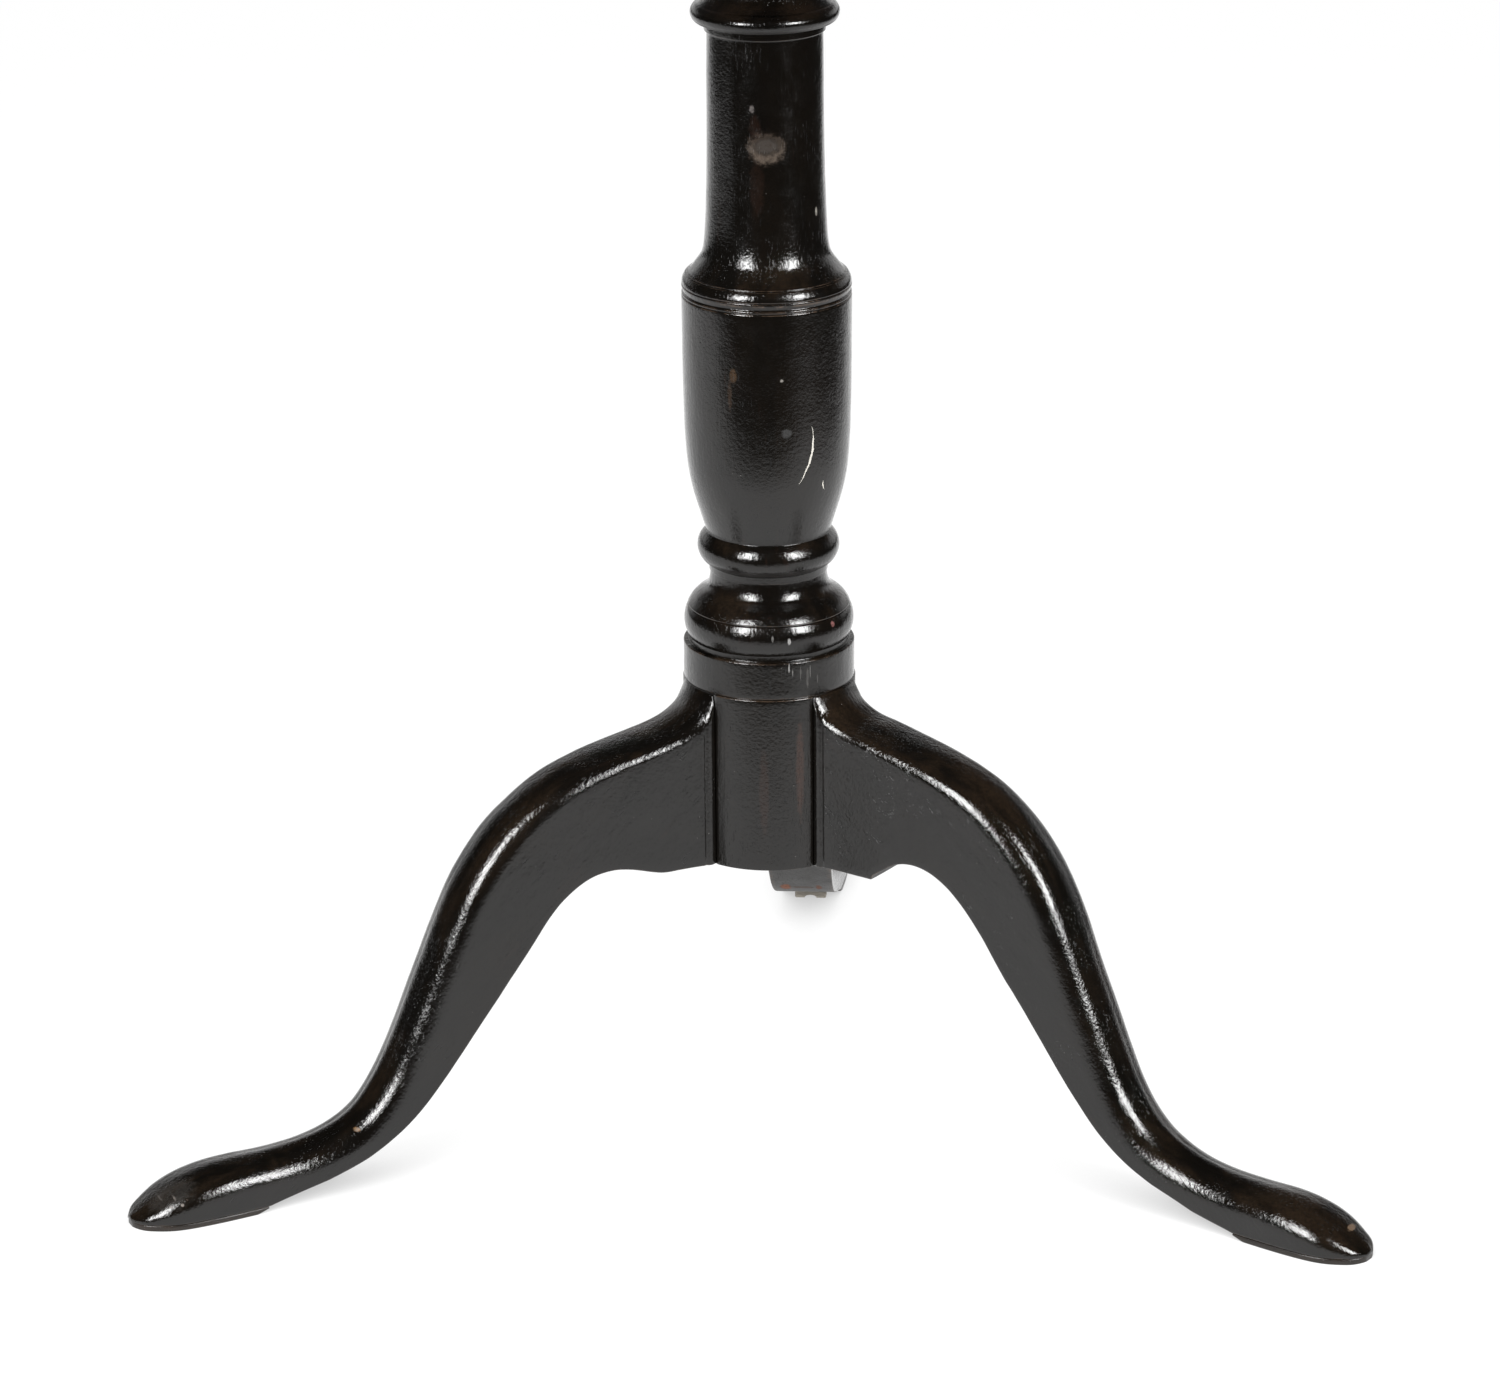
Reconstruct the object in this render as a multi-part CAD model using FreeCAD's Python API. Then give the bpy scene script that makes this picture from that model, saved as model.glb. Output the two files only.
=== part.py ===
import FreeCAD, Part
import math
import os

# Tilt-top tripod table. A turned pillar stands on three snake legs dovetailed into its drum. A block on the
# pillar's tenon carries two pins, and the round top turns on them through its two battens. A sliding
# brass bolt under the top locks it to the block.
# Millimetres, +Z up. The origin is on the floor under the pillar's axis, and the rear leg runs along +Y.

V = FreeCAD.Vector

# ---------------------------------------------------------------- legs and feet
leg_angles = {"left": 210.0, "right": 330.0, "rear": 90.0}
leg_reach = 359.6             # pillar's axis to the tip of a foot
under_pillar = 146.5          # floor to the underside of the pillar
leg_root_half_width = 20.0    # half the leg's thickness where it meets the drum
leg_crown = 0.8               # how far the leg's upper face swells above its corners
pad_thickness = 3.0
pad_inner_gap = 1.0           # the pad starts this far outside the line where the sole begins
strip_length = 15.0           # packing slip behind the rear foot's pad
strip_half_width = 9.0
strip_thickness = 3.6

# The leg's outline was drawn for these levels, and is stretched to the ones in use.
drawn_reach = 359.6
drawn_shoulder = 39.75
drawn_under_pillar = 146.5
drawn_drum_top = 239.0
drawn_pad = 3.0

# Matched points along the leg from the pillar to the toe: upper outline, a point below the lower outline,
# half thickness, and the rounding of the upper corners. The lower outline itself is leg_underside.
leg_stations = [
    ((37.0, 256.0), (37.0, 130.0), 20.2, 3.0),
    ((43.0, 243.5), (43.0, 130.0), 19.9, 3.0),
    ((48.0, 233.0), (48.0, 130.0), 19.3, 3.5),
    ((56.0, 225.5), (56.0, 130.0), 19.0, 4.0),
    ((72.0, 219.8), (70.0, 130.0), 19.0, 4.5),
    ((96.0, 214.0), (86.0, 130.0), 19.0, 5.0),
    ((120.0, 206.8), (100.0, 130.0), 19.0, 6.0),
    ((143.0, 194.8), (112.0, 129.0), 19.0, 7.5),
    ((160.0, 179.5), (122.0, 125.0), 19.0, 8.0),
    ((174.0, 160.0), (133.0, 117.0), 19.0, 8.0),
    ((190.0, 125.5), (153.0, 95.0), 18.8, 8.0),
    ((207.5, 86.5), (175.0, 65.0), 18.4, 8.5),
    ((222.0, 57.5), (196.0, 39.0), 18.1, 9.0),
    ((239.5, 38.0), (220.0, 16.0), 17.6, 9.5),
    ((260.0, 28.5), (249.0, 0.0), 17.0, 10.0),
    ((284.0, 24.8), (282.0, -8.0), 17.2, 10.5),
    ((308.0, 23.6), (308.0, -8.0), 18.8, 11.0),
    ((329.0, 20.8), (329.0, -8.0), 19.3, 10.5),
    ((343.0, 15.2), (343.0, -8.0), 17.4, 8.0),
    ((352.0, 10.0), (352.0, -8.0), 13.0, 5.0),
    ((357.0, 6.8), (357.0, -8.0), 8.2, 2.4),
    ((359.6, 5.0), (359.6, -8.0), 3.2, 1.0),
]
underside_cusp = 75.5         # the flat underside ends here, and the arch begins
leg_underside = [
    (84.0, 152.0), (93.0, 156.3), (102.0, 157.3), (111.0, 155.3), (120.0, 150.3), (131.0, 140.5),
    (145.0, 123.5), (162.0, 102.0), (180.0, 77.5), (198.0, 54.0), (214.0, 37.5), (233.0, 25.0),
    (256.0, 15.2), (275.0, 8.2), (290.0, 3.0),
]

# ---------------------------------------------------------------- leg joint
tongue_depth = 16.0
tongue_neck_half = 8.0        # at the shoulder
tongue_end_half = 11.5        # at its inner end
tongue_stop = 12.0            # the slot stops this far below the top of the drum
glue_gap = 0.1                # clearance round a glued tongue

bracket_thickness = 2.5
bracket_arm_width = 14.0
bracket_edge = 8.5            # iron left outside a screw's centre
bracket_core_margin = 9.5     # pillar's screws stand this far inside the tongues
bracket_screw_shank = 1.9
bracket_screw_head = 4.0
bracket_screw_dome = 1.6
bracket_screw_length = 22.0

nail_shank = 1.0
nail_head = 2.4
nail_head_depth = 1.2
nail_length = 15.0
nail_places = (303.0, 333.0)  # along the foot, from the pillar's axis
fit_gap = 0.05                # a fastener's clearance in its hole

# ---------------------------------------------------------------- pillar, from the bottom up
drum_radius = 44.5
drum_height = 92.5
collar_radius = 44.0
collar_height = 20.0
quirk_radius = 41.2
quirk_height = 3.0
base_torus_radius = 43.6
base_torus_height = 15.5
ogee_height = 19.5
waist_radius = 29.9
waist_height = 3.5
bead_radius = 36.4
bead_height = 17.5
vase_foot_radius = 31.8
vase_radius = 43.1
vase_height = 124.0
shoulder_height = 13.6
shaft_foot_radius = 38.2
shaft_radius = 29.0
shaft_height = 122.0
shaft_fillet_radius = 30.4
shaft_fillet_height = 4.4
neck_torus_radius = 37.3
neck_torus_height = 10.4
neck_radius = 27.5
neck_height = 37.0
cap_radius = 37.5
cap_height = 16.2
tenon_radius = 18.0
tenon_short = 0.5             # the tenon stops this far below the underside of the top

# ---------------------------------------------------------------- block, pins and wedge
block_width = 104.0
block_depth = 104.0
block_height = 45.0
block_chamfer = 5.0
pin_radius = 7.0
pin_drop = 15.0               # pin's axis below the underside of the top
pin_setback = 14.8            # pin's axis behind the block's front face
nose_gap = 0.5                # the rounded front edge stays this far inside the turning radius
pin_running_gap = 0.06
tenon_fit_gap = 0.05
wedge_depth = 30.0
wedge_top_half = 1.9
wedge_tip_half = 0.5

# ---------------------------------------------------------------- top
top_radius = 380.0
top_thickness = 20.0
edge_step = 1.5               # the thumb moulding starts below the top face by this much
edge_width = 12.0
edge_bevel = 18.0
edge_square = 5.0
board_joints = (-126.0, 131.0)
dowel_radius = 4.0
dowel_length = 50.0
dowel_end_gap = 0.5
dowel_places = (-225.0, -75.0, 75.0, 225.0)
batten_width = 24.0
batten_height = 34.0
batten_length = 560.0
batten_side_gap = 0.5
batten_taper_length = 70.0
batten_taper = 14.0
batten_screw_places = (-205.0, -82.0, 82.0, 205.0)
batten_screw_shank = 2.3
batten_screw_head = 4.6
batten_screw_head_height = 3.0
batten_screw_sink = 5.0
batten_screw_bite = 13.0

# ---------------------------------------------------------------- catch
bolt_width = 14.0
bolt_thickness = 6.0
bolt_travel = 11.0
bolt_set_back = 3.5           # the drawn bolt's nose stands this far behind the block
bolt_running_gap = 0.3
bolt_nose_bevel = 2.0
catch_plate_thickness = 2.0
catch_plate_width = 34.0
catch_plate_margin = 3.0
catch_set_back = 4.5
spring_space = 1.0            # between the bolt and the plate
spring_thickness = 0.4
spring_length = 18.0
spring_width = 8.0
spring_start = 4.0            # from the bolt's nose to the spring
spring_recess = 1.2
staple_length = 8.0
staple_thickness = 1.6
knob_stem_radius = 3.0
knob_stem_length = 6.0
knob_radius = 6.5
knob_height = 9.0
knob_spigot_radius = 2.0
knob_stop_gap = 0.3
catch_screw_shank = 1.6
catch_screw_head = 3.0
catch_screw_head_height = 1.6
catch_screw_length = 14.0
strike_width = 38.0
strike_height = 17.0
strike_thickness = 2.0
strike_edge = 0.6             # strike plate's upper edge below the block's top face
mortise_gap = 0.6
mortise_depth = 12.0
strike_screw_place = 13.5

# ---------------------------------------------------------------- levels and places that follow
drum_top = under_pillar + drum_height
collar_top = drum_top + collar_height
quirk_top = collar_top + quirk_height
torus_top = quirk_top + base_torus_height
ogee_top = torus_top + ogee_height
waist_top = ogee_top + waist_height
bead_top = waist_top + bead_height
vase_top = bead_top + vase_height
shoulder_top = vase_top + shoulder_height
shaft_top = shoulder_top + shaft_height
fillet_top = shaft_top + shaft_fillet_height
neck_torus_top = fillet_top + neck_torus_height
neck_top = neck_torus_top + neck_height
cap_top = neck_top + cap_height
block_top = cap_top + block_height
table_top = block_top + top_thickness
shoulder_distance = math.sqrt(drum_radius ** 2 - leg_root_half_width ** 2)
sole_start = leg_underside[-1][0]
hub_screw_radius = shoulder_distance - tongue_depth - bracket_core_margin
block_front = -block_depth / 2
block_rear = block_depth / 2
pin_y = block_front + pin_setback
pin_z = block_top - pin_drop
batten_inner = block_width / 2 + batten_side_gap
batten_outer = batten_inner + batten_width
bolt_upper = block_top - catch_plate_thickness - spring_space
bolt_lower = bolt_upper - bolt_thickness
bolt_nose = block_rear + bolt_set_back
first_staple = bolt_nose + catch_set_back
second_staple = first_staple + staple_length + bolt_travel + 2 * knob_stem_radius + 2 * knob_stop_gap
knob_y = second_staple - knob_stop_gap - knob_stem_radius
bolt_tail = second_staple + staple_length + 6.0


# ---------------------------------------------------------------- drawing helpers
def outline(start, steps, place):
    """Closed wire. A step is a point for a line, a pair (middle, end) for an arc, or a list for a curve."""
    edges = []
    here = start
    for step in steps + [start]:
        if isinstance(step, list):
            curve = Part.BSplineCurve()
            curve.interpolate([place(*here)] + [place(*point) for point in step])
            edges.append(curve.toShape())
            here = step[-1]
        elif isinstance(step[0], tuple):
            edges.append(Part.Arc(place(*here), place(*step[0]), place(*step[1])).toShape())
            here = step[1]
        else:
            edges.append(Part.LineSegment(place(*here), place(*step)).toShape())
            here = step
    return Part.Wire(edges)


def upright(x, z):
    return V(x, 0, z)


def turned(start, steps):
    """Solid of revolution about the Z axis from a half outline of (radius, height) points."""
    face = Part.Face(outline(start, steps, upright))
    return face.revolve(V(0, 0, 0), V(0, 0, 1), 360)


def box(x_range, y_range, z_range):
    size = [high - low for low, high in (x_range, y_range, z_range)]
    return Part.makeBox(*size, V(x_range[0], y_range[0], z_range[0]))


def prism_across(start, steps, half_width):
    """Outline in the XZ plane, extruded to half_width on both sides of it."""
    face = Part.Face(outline(start, steps, lambda x, z: V(x, -half_width, z)))
    return face.extrude(V(0, 2 * half_width, 0))


def peg(radius, base, direction, length):
    return Part.makeCylinder(radius, length, base, direction)


def about_axis(shape, angle):
    turned_copy = shape.copy()
    turned_copy.rotate(V(0, 0, 0), V(0, 0, 1), angle)
    return turned_copy


def group(shapes):
    return Part.makeCompound(shapes)


def screw(tip, direction, length, shank, head, head_height):
    """Plain-shanked screw with a domed head. It points along direction and ends at tip."""
    axis = V(*direction)
    seat = tip - axis * length
    body = peg(shank, seat, axis, length)
    dome_radius = (head ** 2 + head_height ** 2) / (2 * head_height)
    dome = Part.makeSphere(dome_radius, seat + axis * (dome_radius - head_height))
    cap = dome.common(peg(head, seat - axis * head_height, axis, head_height))
    return body.fuse(cap).removeSplitter()


# ---------------------------------------------------------------- legs
def stretched(point, level, drawn_level):
    """A point of the drawn leg outline, moved to the leg's own reach, pad and level."""
    x_scale = (leg_reach - shoulder_distance) / (drawn_reach - drawn_shoulder)
    z_scale = (level - pad_thickness) / (drawn_level - drawn_pad)
    x = shoulder_distance + (point[0] - drawn_shoulder) * x_scale
    z = pad_thickness + (point[1] - drawn_pad) * z_scale
    return (x, z)


def leg_section(upper, lower, half_width, corner):
    """Cross-section of the leg between two points of its plane: square below, rounded corners above."""
    top = V(upper[0], 0, upper[1])
    bottom = V(lower[0], 0, lower[1])
    rise = (top - bottom).normalize()
    height = (top - bottom).Length
    inset = half_width - corner
    cut = corner * (1 - math.sqrt(0.5))

    def at(across, up):
        return bottom + rise * up + V(0, across, 0)

    edges = [
        Part.LineSegment(at(-half_width, 0), at(half_width, 0)),
        Part.LineSegment(at(half_width, 0), at(half_width, height - corner)),
        Part.Arc(at(half_width, height - corner), at(half_width - cut, height - cut), at(inset, height)),
        Part.Arc(at(inset, height), at(0, height + leg_crown * inset / leg_root_half_width), at(-inset, height)),
        Part.Arc(at(-inset, height), at(cut - half_width, height - cut), at(-half_width, height - corner)),
        Part.LineSegment(at(-half_width, height - corner), at(-half_width, 0)),
    ]
    return Part.Wire([edge.toShape() for edge in edges])


def leg_blank():
    """The leg before its underside is sawn out, along +X."""
    width_scale = leg_root_half_width / leg_stations[0][2]
    sections = []
    for upper, lower, half_width, corner in leg_stations:
        upper_point = stretched(upper, drum_top, drawn_drum_top)
        lower_point = stretched(lower, under_pillar, drawn_under_pillar)
        sections.append(leg_section(upper_point, lower_point, half_width * width_scale, corner * width_scale))
    return Part.makeLoft(sections, True, False)


def below_leg():
    """The space sawn away under the leg, down past the floor."""
    curve = [stretched(point, under_pillar, drawn_under_pillar) for point in leg_underside]
    cusp = stretched((underside_cusp, drawn_under_pillar), under_pillar, drawn_under_pillar)
    deep = -60.0
    far = leg_reach + 20.0
    start = (0.0, deep)
    steps = [(0.0, under_pillar), cusp, curve, (far, pad_thickness), (far, deep)]
    return prism_across(start, steps, 2 * leg_root_half_width)


def tongue(gap):
    """Dovetail tongue along +X. A positive gap gives the slot that takes it."""
    inner = shoulder_distance - tongue_depth - gap
    neck = tongue_neck_half + gap
    end = tongue_end_half + gap
    height = drum_height - tongue_stop + gap
    outer = shoulder_distance + 1.0
    points = [(inner, -end), (inner, end), (shoulder_distance, neck), (outer, neck), (outer, -neck),
              (shoulder_distance, -neck)]
    low = under_pillar - (1.0 if gap else 0.0)
    face = Part.Face(outline(points[0], points[1:], lambda x, y: V(x, y, low)))
    return face.extrude(V(0, 0, under_pillar + height - low))


def pad_nail_set():
    """Nails of one pad, driven up through it, along +X."""
    nails = []
    for drawn_place in nail_places:
        place = stretched((drawn_place, 0), under_pillar, drawn_under_pillar)[0]
        seat = nail_head_depth + 0.8
        shank = peg(nail_shank, V(place, 0, seat), V(0, 0, 1), nail_length)
        head = peg(nail_head, V(place, 0, seat - nail_head_depth), V(0, 0, 1), nail_head_depth)
        nails.append(shank.fuse(head).removeSplitter())
    return nails


def nail_holes():
    """Space for one pad's nails, with a sunk mouth in the pad's sole."""
    holes = []
    for drawn_place in nail_places:
        place = stretched((drawn_place, 0), under_pillar, drawn_under_pillar)[0]
        holes.append(peg(nail_shank + fit_gap, V(place, 0, -1), V(0, 0, 1), nail_length + 4.0))
        holes.append(peg(nail_head + fit_gap, V(place, 0, -1), V(0, 0, 1), 1 + 0.8 + nail_head_depth))
    return holes


def arm_screw_radius():
    """The arm's screw enters the middle of the leg's flat underside."""
    cusp = stretched((underside_cusp, drawn_under_pillar), under_pillar, drawn_under_pillar)
    return (shoulder_distance + cusp[0]) / 2


def bracket_screw_set(gap):
    """Screws of one bracket arm, pillar's first, along +X. A positive gap gives their holes."""
    screws = []
    for place in (hub_screw_radius, arm_screw_radius()):
        if gap:
            base = V(place, 0, under_pillar - bracket_thickness - 1.0)
            length = bracket_screw_length + 2 * fit_gap + 1.0
            screws.append(peg(bracket_screw_shank + gap, base, V(0, 0, 1), length))
        else:
            tip = V(place, 0, under_pillar - bracket_thickness + bracket_screw_length)
            screws.append(screw(tip, (0, 0, 1), bracket_screw_length, bracket_screw_shank,
                                bracket_screw_head, bracket_screw_dome))
    return screws


def leg(blank):
    """One snake leg along +X: sawn underside, square shoulder, dovetail tongue, screw and nail holes."""
    room = box((shoulder_distance, leg_reach + 20), (-60, 60), (-1, drum_top))
    shaped = blank.common(room).cut(below_leg())
    shaped = shaped.fuse(tongue(0.0)).removeSplitter()
    return shaped.cut(group(bracket_screw_set(fit_gap) + nail_holes()))


def pad_start():
    return stretched((sole_start, 0), under_pillar, drawn_under_pillar)[0] + pad_inner_gap


def foot_pad(blank):
    """Thin sole under one foot, with the foot's own outline."""
    slab = box((pad_start(), leg_reach + 20), (-60, 60), (0, pad_thickness))
    return blank.common(slab).cut(group(nail_holes()))


def packing_strip():
    """Slip of softwood pushed in under the rear foot, up to its pad, to level the table."""
    end = pad_start()
    slip = box((end - strip_length, end), (-strip_half_width, strip_half_width), (0, strip_thickness))
    return slip.common(below_leg())


def leg_bracket():
    """Three-armed iron plate under the pillar that ties the legs to it."""
    low = under_pillar - bracket_thickness
    plate = peg(hub_screw_radius + bracket_edge, V(0, 0, low), V(0, 0, 1), bracket_thickness)
    half = bracket_arm_width / 2
    end = arm_screw_radius() + bracket_edge - half
    arm = box((0, end), (-half, half), (low, under_pillar))
    arm = arm.fuse(peg(half, V(end, 0, low), V(0, 0, 1), bracket_thickness))
    for angle in leg_angles.values():
        plate = plate.fuse(about_axis(arm, angle))
    plate = plate.removeSplitter()
    for angle in leg_angles.values():
        plate = plate.cut(about_axis(group(bracket_screw_set(fit_gap)), angle))
    return plate


# ---------------------------------------------------------------- pillar
def pillar():
    """Turned pillar with its mouldings, top tenon, leg flats, dovetail slots and wedge kerf."""
    tenon_top = block_top - tenon_short
    torus_edge = base_torus_radius - 1.8
    ogee_middle = (torus_edge + waist_radius) / 2 + 0.2
    vase_swell = vase_radius - vase_foot_radius
    shaft_flare = shaft_foot_radius - shaft_radius
    shaft_line = [(shaft_radius + shaft_flare * share, shoulder_top + shaft_height * up) for share, up in (
        (0.674, 0.033), (0.424, 0.062), (0.304, 0.094), (0.207, 0.164), (0.13, 0.30), (0.04, 0.69), (0.0, 1.0))]
    vase_line = [(vase_foot_radius + vase_swell * share, bead_top + vase_height * up) for share, up in (
        (0.23, 0.068), (0.50, 0.15), (0.75, 0.252), (0.893, 0.39), (0.965, 0.60), (0.991, 0.86), (1.0, 1.0))]
    steps = [
        (drum_radius, under_pillar),
        (drum_radius, drum_top),
        (collar_radius - 0.5, drum_top + 0.5),
        (collar_radius, drum_top + 1.0),
        (collar_radius, collar_top - 0.4),
        (collar_radius - 0.4, collar_top),
        (quirk_radius, collar_top),
        (quirk_radius, quirk_top),
        ((base_torus_radius, quirk_top + base_torus_height / 2), (torus_edge, torus_top)),
        (torus_edge - 0.7, torus_top + 0.5),
        (torus_edge - 0.1, torus_top + 1.0),
        [(torus_edge - 2.0, torus_top + 4.0), (ogee_middle, torus_top + 7.3),
         (waist_radius + 2.1, torus_top + 10.4), (waist_radius + 0.6, torus_top + 14.0), (waist_radius, ogee_top)],
        (waist_radius + 0.6, ogee_top),
        (waist_radius + 0.6, waist_top),
        ((bead_radius, waist_top + bead_height / 2), (vase_foot_radius, bead_top)),
        vase_line,
        (vase_radius - 0.6, vase_top + 0.5),
        (vase_radius - 0.1, vase_top + 1.1),
        (vase_radius - 0.1, vase_top + 1.7),
        (vase_radius - 0.9, vase_top + 2.5),
        [(vase_radius, vase_top + 5.4), (vase_radius - 0.5, vase_top + 9.0), (vase_radius - 2.4, vase_top + 11.9),
         (vase_radius - 4.5, shoulder_top - 0.3)],
        (shaft_foot_radius, shoulder_top),
        shaft_line,
        (shaft_fillet_radius, shaft_top + 0.4),
        (shaft_fillet_radius, fillet_top),
        (neck_torus_radius - 5.8, fillet_top),
        ((neck_torus_radius, fillet_top + neck_torus_height / 2), (neck_torus_radius - 3.6, neck_torus_top - 0.6)),
        (neck_torus_radius - 4.2, neck_torus_top),
        [(neck_radius + 2.6, neck_torus_top + 3.0), (neck_radius + 0.8, neck_torus_top + 7.0),
         (neck_radius, neck_torus_top + 0.42 * neck_height), (neck_radius, neck_top)],
        (neck_radius + 1.6, neck_top),
        ((cap_radius - 2.4, neck_top + 0.36 * cap_height), (cap_radius - 0.4, cap_top - 4.4)),
        (cap_radius, cap_top - 4.4),
        (cap_radius, cap_top),
        (tenon_radius, cap_top),
        (tenon_radius, tenon_top),
        (0.0, tenon_top),
    ]
    body = turned((0.0, under_pillar), steps)
    flat = box((shoulder_distance, drum_radius + 5), (-leg_root_half_width - 5, leg_root_half_width + 5),
               (under_pillar - 1, drum_top))
    for angle in leg_angles.values():
        cutters = group([flat, tongue(glue_gap)] + bracket_screw_set(fit_gap)[:1])
        body = body.cut(about_axis(cutters, angle))
    return body.cut(wedge_blank(0.02))


def wedge_blank(gap):
    """Tapered wedge across the tenon, along X. A positive gap gives its kerf."""
    top = block_top - tenon_short
    upper = wedge_top_half + gap
    tip = wedge_tip_half + gap
    points = [(-upper, top), (upper, top), (tip, top - wedge_depth - gap), (-tip, top - wedge_depth - gap)]
    reach = tenon_radius + 1.0
    face = Part.Face(outline(points[0], points[1:], lambda y, z: V(-reach, y, z)))
    return face.extrude(V(2 * reach, 0, 0))


def tenon_wedge():
    round_tenon = peg(tenon_radius, V(0, 0, cap_top), V(0, 0, 1), block_top - tenon_short - cap_top)
    return wedge_blank(0.0).common(round_tenon)


# ---------------------------------------------------------------- block
def bolt_mortise():
    """Hole in the block's rear face that takes the bolt, through the strike plate."""
    half = bolt_width / 2 + mortise_gap
    return box((-half, half), (block_rear - mortise_depth, block_rear + 1),
               (bolt_lower - mortise_gap, bolt_upper + mortise_gap))


def strike_blank():
    top = block_top - strike_edge
    return box((-strike_width / 2, strike_width / 2), (block_rear - strike_thickness, block_rear),
               (top - strike_height, top))


def strike_screws_at(gap):
    """Two screws of the strike plate, heads let in flush. A positive gap gives their holes."""
    z = (bolt_lower + bolt_upper) / 2 - 3.0
    screws = []
    for side in (-1, 1):
        head_end = V(side * strike_screw_place, block_rear, z)
        cone = Part.makeCone(catch_screw_head + gap, catch_screw_shank + gap, strike_thickness,
                             head_end, V(0, -1, 0))
        shank = peg(catch_screw_shank + gap, head_end, V(0, -1, 0), catch_screw_length + gap)
        screws.append(cone.fuse(shank).removeSplitter())
    return screws


def strike_plate():
    return strike_blank().cut(bolt_mortise()).cut(group(strike_screws_at(fit_gap)))


def pivot_block():
    """Block on the pillar's tenon: rounded front edge, a pin at each side, chamfered underside."""
    half = block_width / 2
    nose = min(pin_drop, pin_setback) - nose_gap
    middle = nose * math.sqrt(0.5)
    start = (block_front, cap_top + block_chamfer)
    steps = [
        (block_front, pin_z),
        (pin_y - nose, pin_z),
        ((pin_y - middle, pin_z + middle), (pin_y, pin_z + nose)),
        (pin_y, block_top),
        (block_rear, block_top),
        (block_rear, cap_top + block_chamfer),
        (block_rear - block_chamfer, cap_top),
        (block_front + block_chamfer, cap_top),
    ]
    face = Part.Face(outline(start, steps, lambda y, z: V(-half, y, z)))
    body = face.extrude(V(block_width, 0, 0))
    pin_length = batten_outer - half
    for side in (-1, 1):
        body = body.fuse(peg(pin_radius, V(side * half, pin_y, pin_z), V(side, 0, 0), pin_length))
    body = body.removeSplitter()
    bore = peg(tenon_radius + tenon_fit_gap, V(0, 0, cap_top - 1), V(0, 0, 1), block_height + 2)
    return body.cut(group([bore, strike_blank(), bolt_mortise()])).cut(group(strike_screws_at(fit_gap)))


# ---------------------------------------------------------------- top
def top_disc():
    """Round top with a thumb-moulded edge and a bevelled underside."""
    face_radius = top_radius - edge_width
    square_low = block_top + (top_thickness - edge_step - edge_square) / 2
    steps = [
        (top_radius - edge_bevel, block_top),
        (top_radius, square_low),
        (top_radius, square_low + edge_square),
        ((top_radius - 0.29 * edge_width, table_top - edge_step - 2.2), (face_radius, table_top - edge_step)),
        (face_radius, table_top),
        (0.0, table_top),
    ]
    return turned((0.0, block_top), steps)


def board_dowel_set(gap):
    """Dowels in the two joints between the boards, along Y. A positive gap gives their holes."""
    pegs = []
    length = dowel_length + (2 * dowel_end_gap if gap else 0.0)
    for joint in board_joints:
        for x in dowel_places:
            base = V(x, joint - length / 2, block_top + top_thickness / 2)
            pegs.append(peg(dowel_radius + gap, base, V(0, 1, 0), length))
    return pegs


def batten_screw_set(gap):
    """Screws that hold both battens, heads sunk from below. A positive gap gives their holes in the top."""
    screws = []
    middle = (batten_inner + batten_outer) / 2
    seat = block_top - batten_height + batten_screw_sink + batten_screw_head_height
    length = block_top + batten_screw_bite - seat
    for side in (-1, 1):
        for y in batten_screw_places:
            base = V(side * middle, y, seat)
            if gap:
                screws.append(peg(batten_screw_shank + gap, base, V(0, 0, 1), length + gap))
            else:
                screws.append(screw(base + V(0, 0, length), (0, 0, 1), length, batten_screw_shank,
                                    batten_screw_head, batten_screw_head_height))
    return screws


def batten_screw_wells():
    """Counterbores under the screw heads."""
    wells = []
    middle = (batten_inner + batten_outer) / 2
    low = block_top - batten_height
    for side in (-1, 1):
        for y in batten_screw_places:
            depth = batten_screw_sink + batten_screw_head_height
            wells.append(peg(batten_screw_head + 0.3, V(side * middle, y, low - 1), V(0, 0, 1), depth + 1))
    return wells


def top_boards():
    """The three boards of the top, front to rear, their grain along X."""
    disc = top_disc()
    holes = group(board_dowel_set(fit_gap) + batten_screw_set(fit_gap) + catch_screw_set(fit_gap))
    edges = [-top_radius - 1, board_joints[0], board_joints[1], top_radius + 1]
    boards = []
    for low, high in zip(edges[:-1], edges[1:]):
        strip = box((-top_radius - 1, top_radius + 1), (low, high), (block_top - 1, table_top + 1))
        boards.append(disc.common(strip).cut(holes))
    return boards


def batten(side):
    """Bearer under the top beside the block, bored for the pin and tapered at both ends."""
    half = batten_length / 2
    low = block_top - batten_height
    start = (-half, block_top)
    steps = [
        (half, block_top),
        (half, low + batten_taper),
        (half - batten_taper_length, low),
        (batten_taper_length - half, low),
        (-half, low + batten_taper),
    ]
    inner = min(side * batten_inner, side * batten_outer)
    face = Part.Face(outline(start, steps, lambda y, z: V(inner, y, z)))
    body = face.extrude(V(batten_width, 0, 0))
    bore = peg(pin_radius + pin_running_gap, V(inner - 1, pin_y, pin_z), V(1, 0, 0), batten_width + 2)
    return body.cut(bore).cut(group(batten_screw_set(fit_gap) + batten_screw_wells()))


# ---------------------------------------------------------------- catch under the top
def staple_centres():
    return [first_staple + staple_length / 2, second_staple + staple_length / 2]


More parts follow.
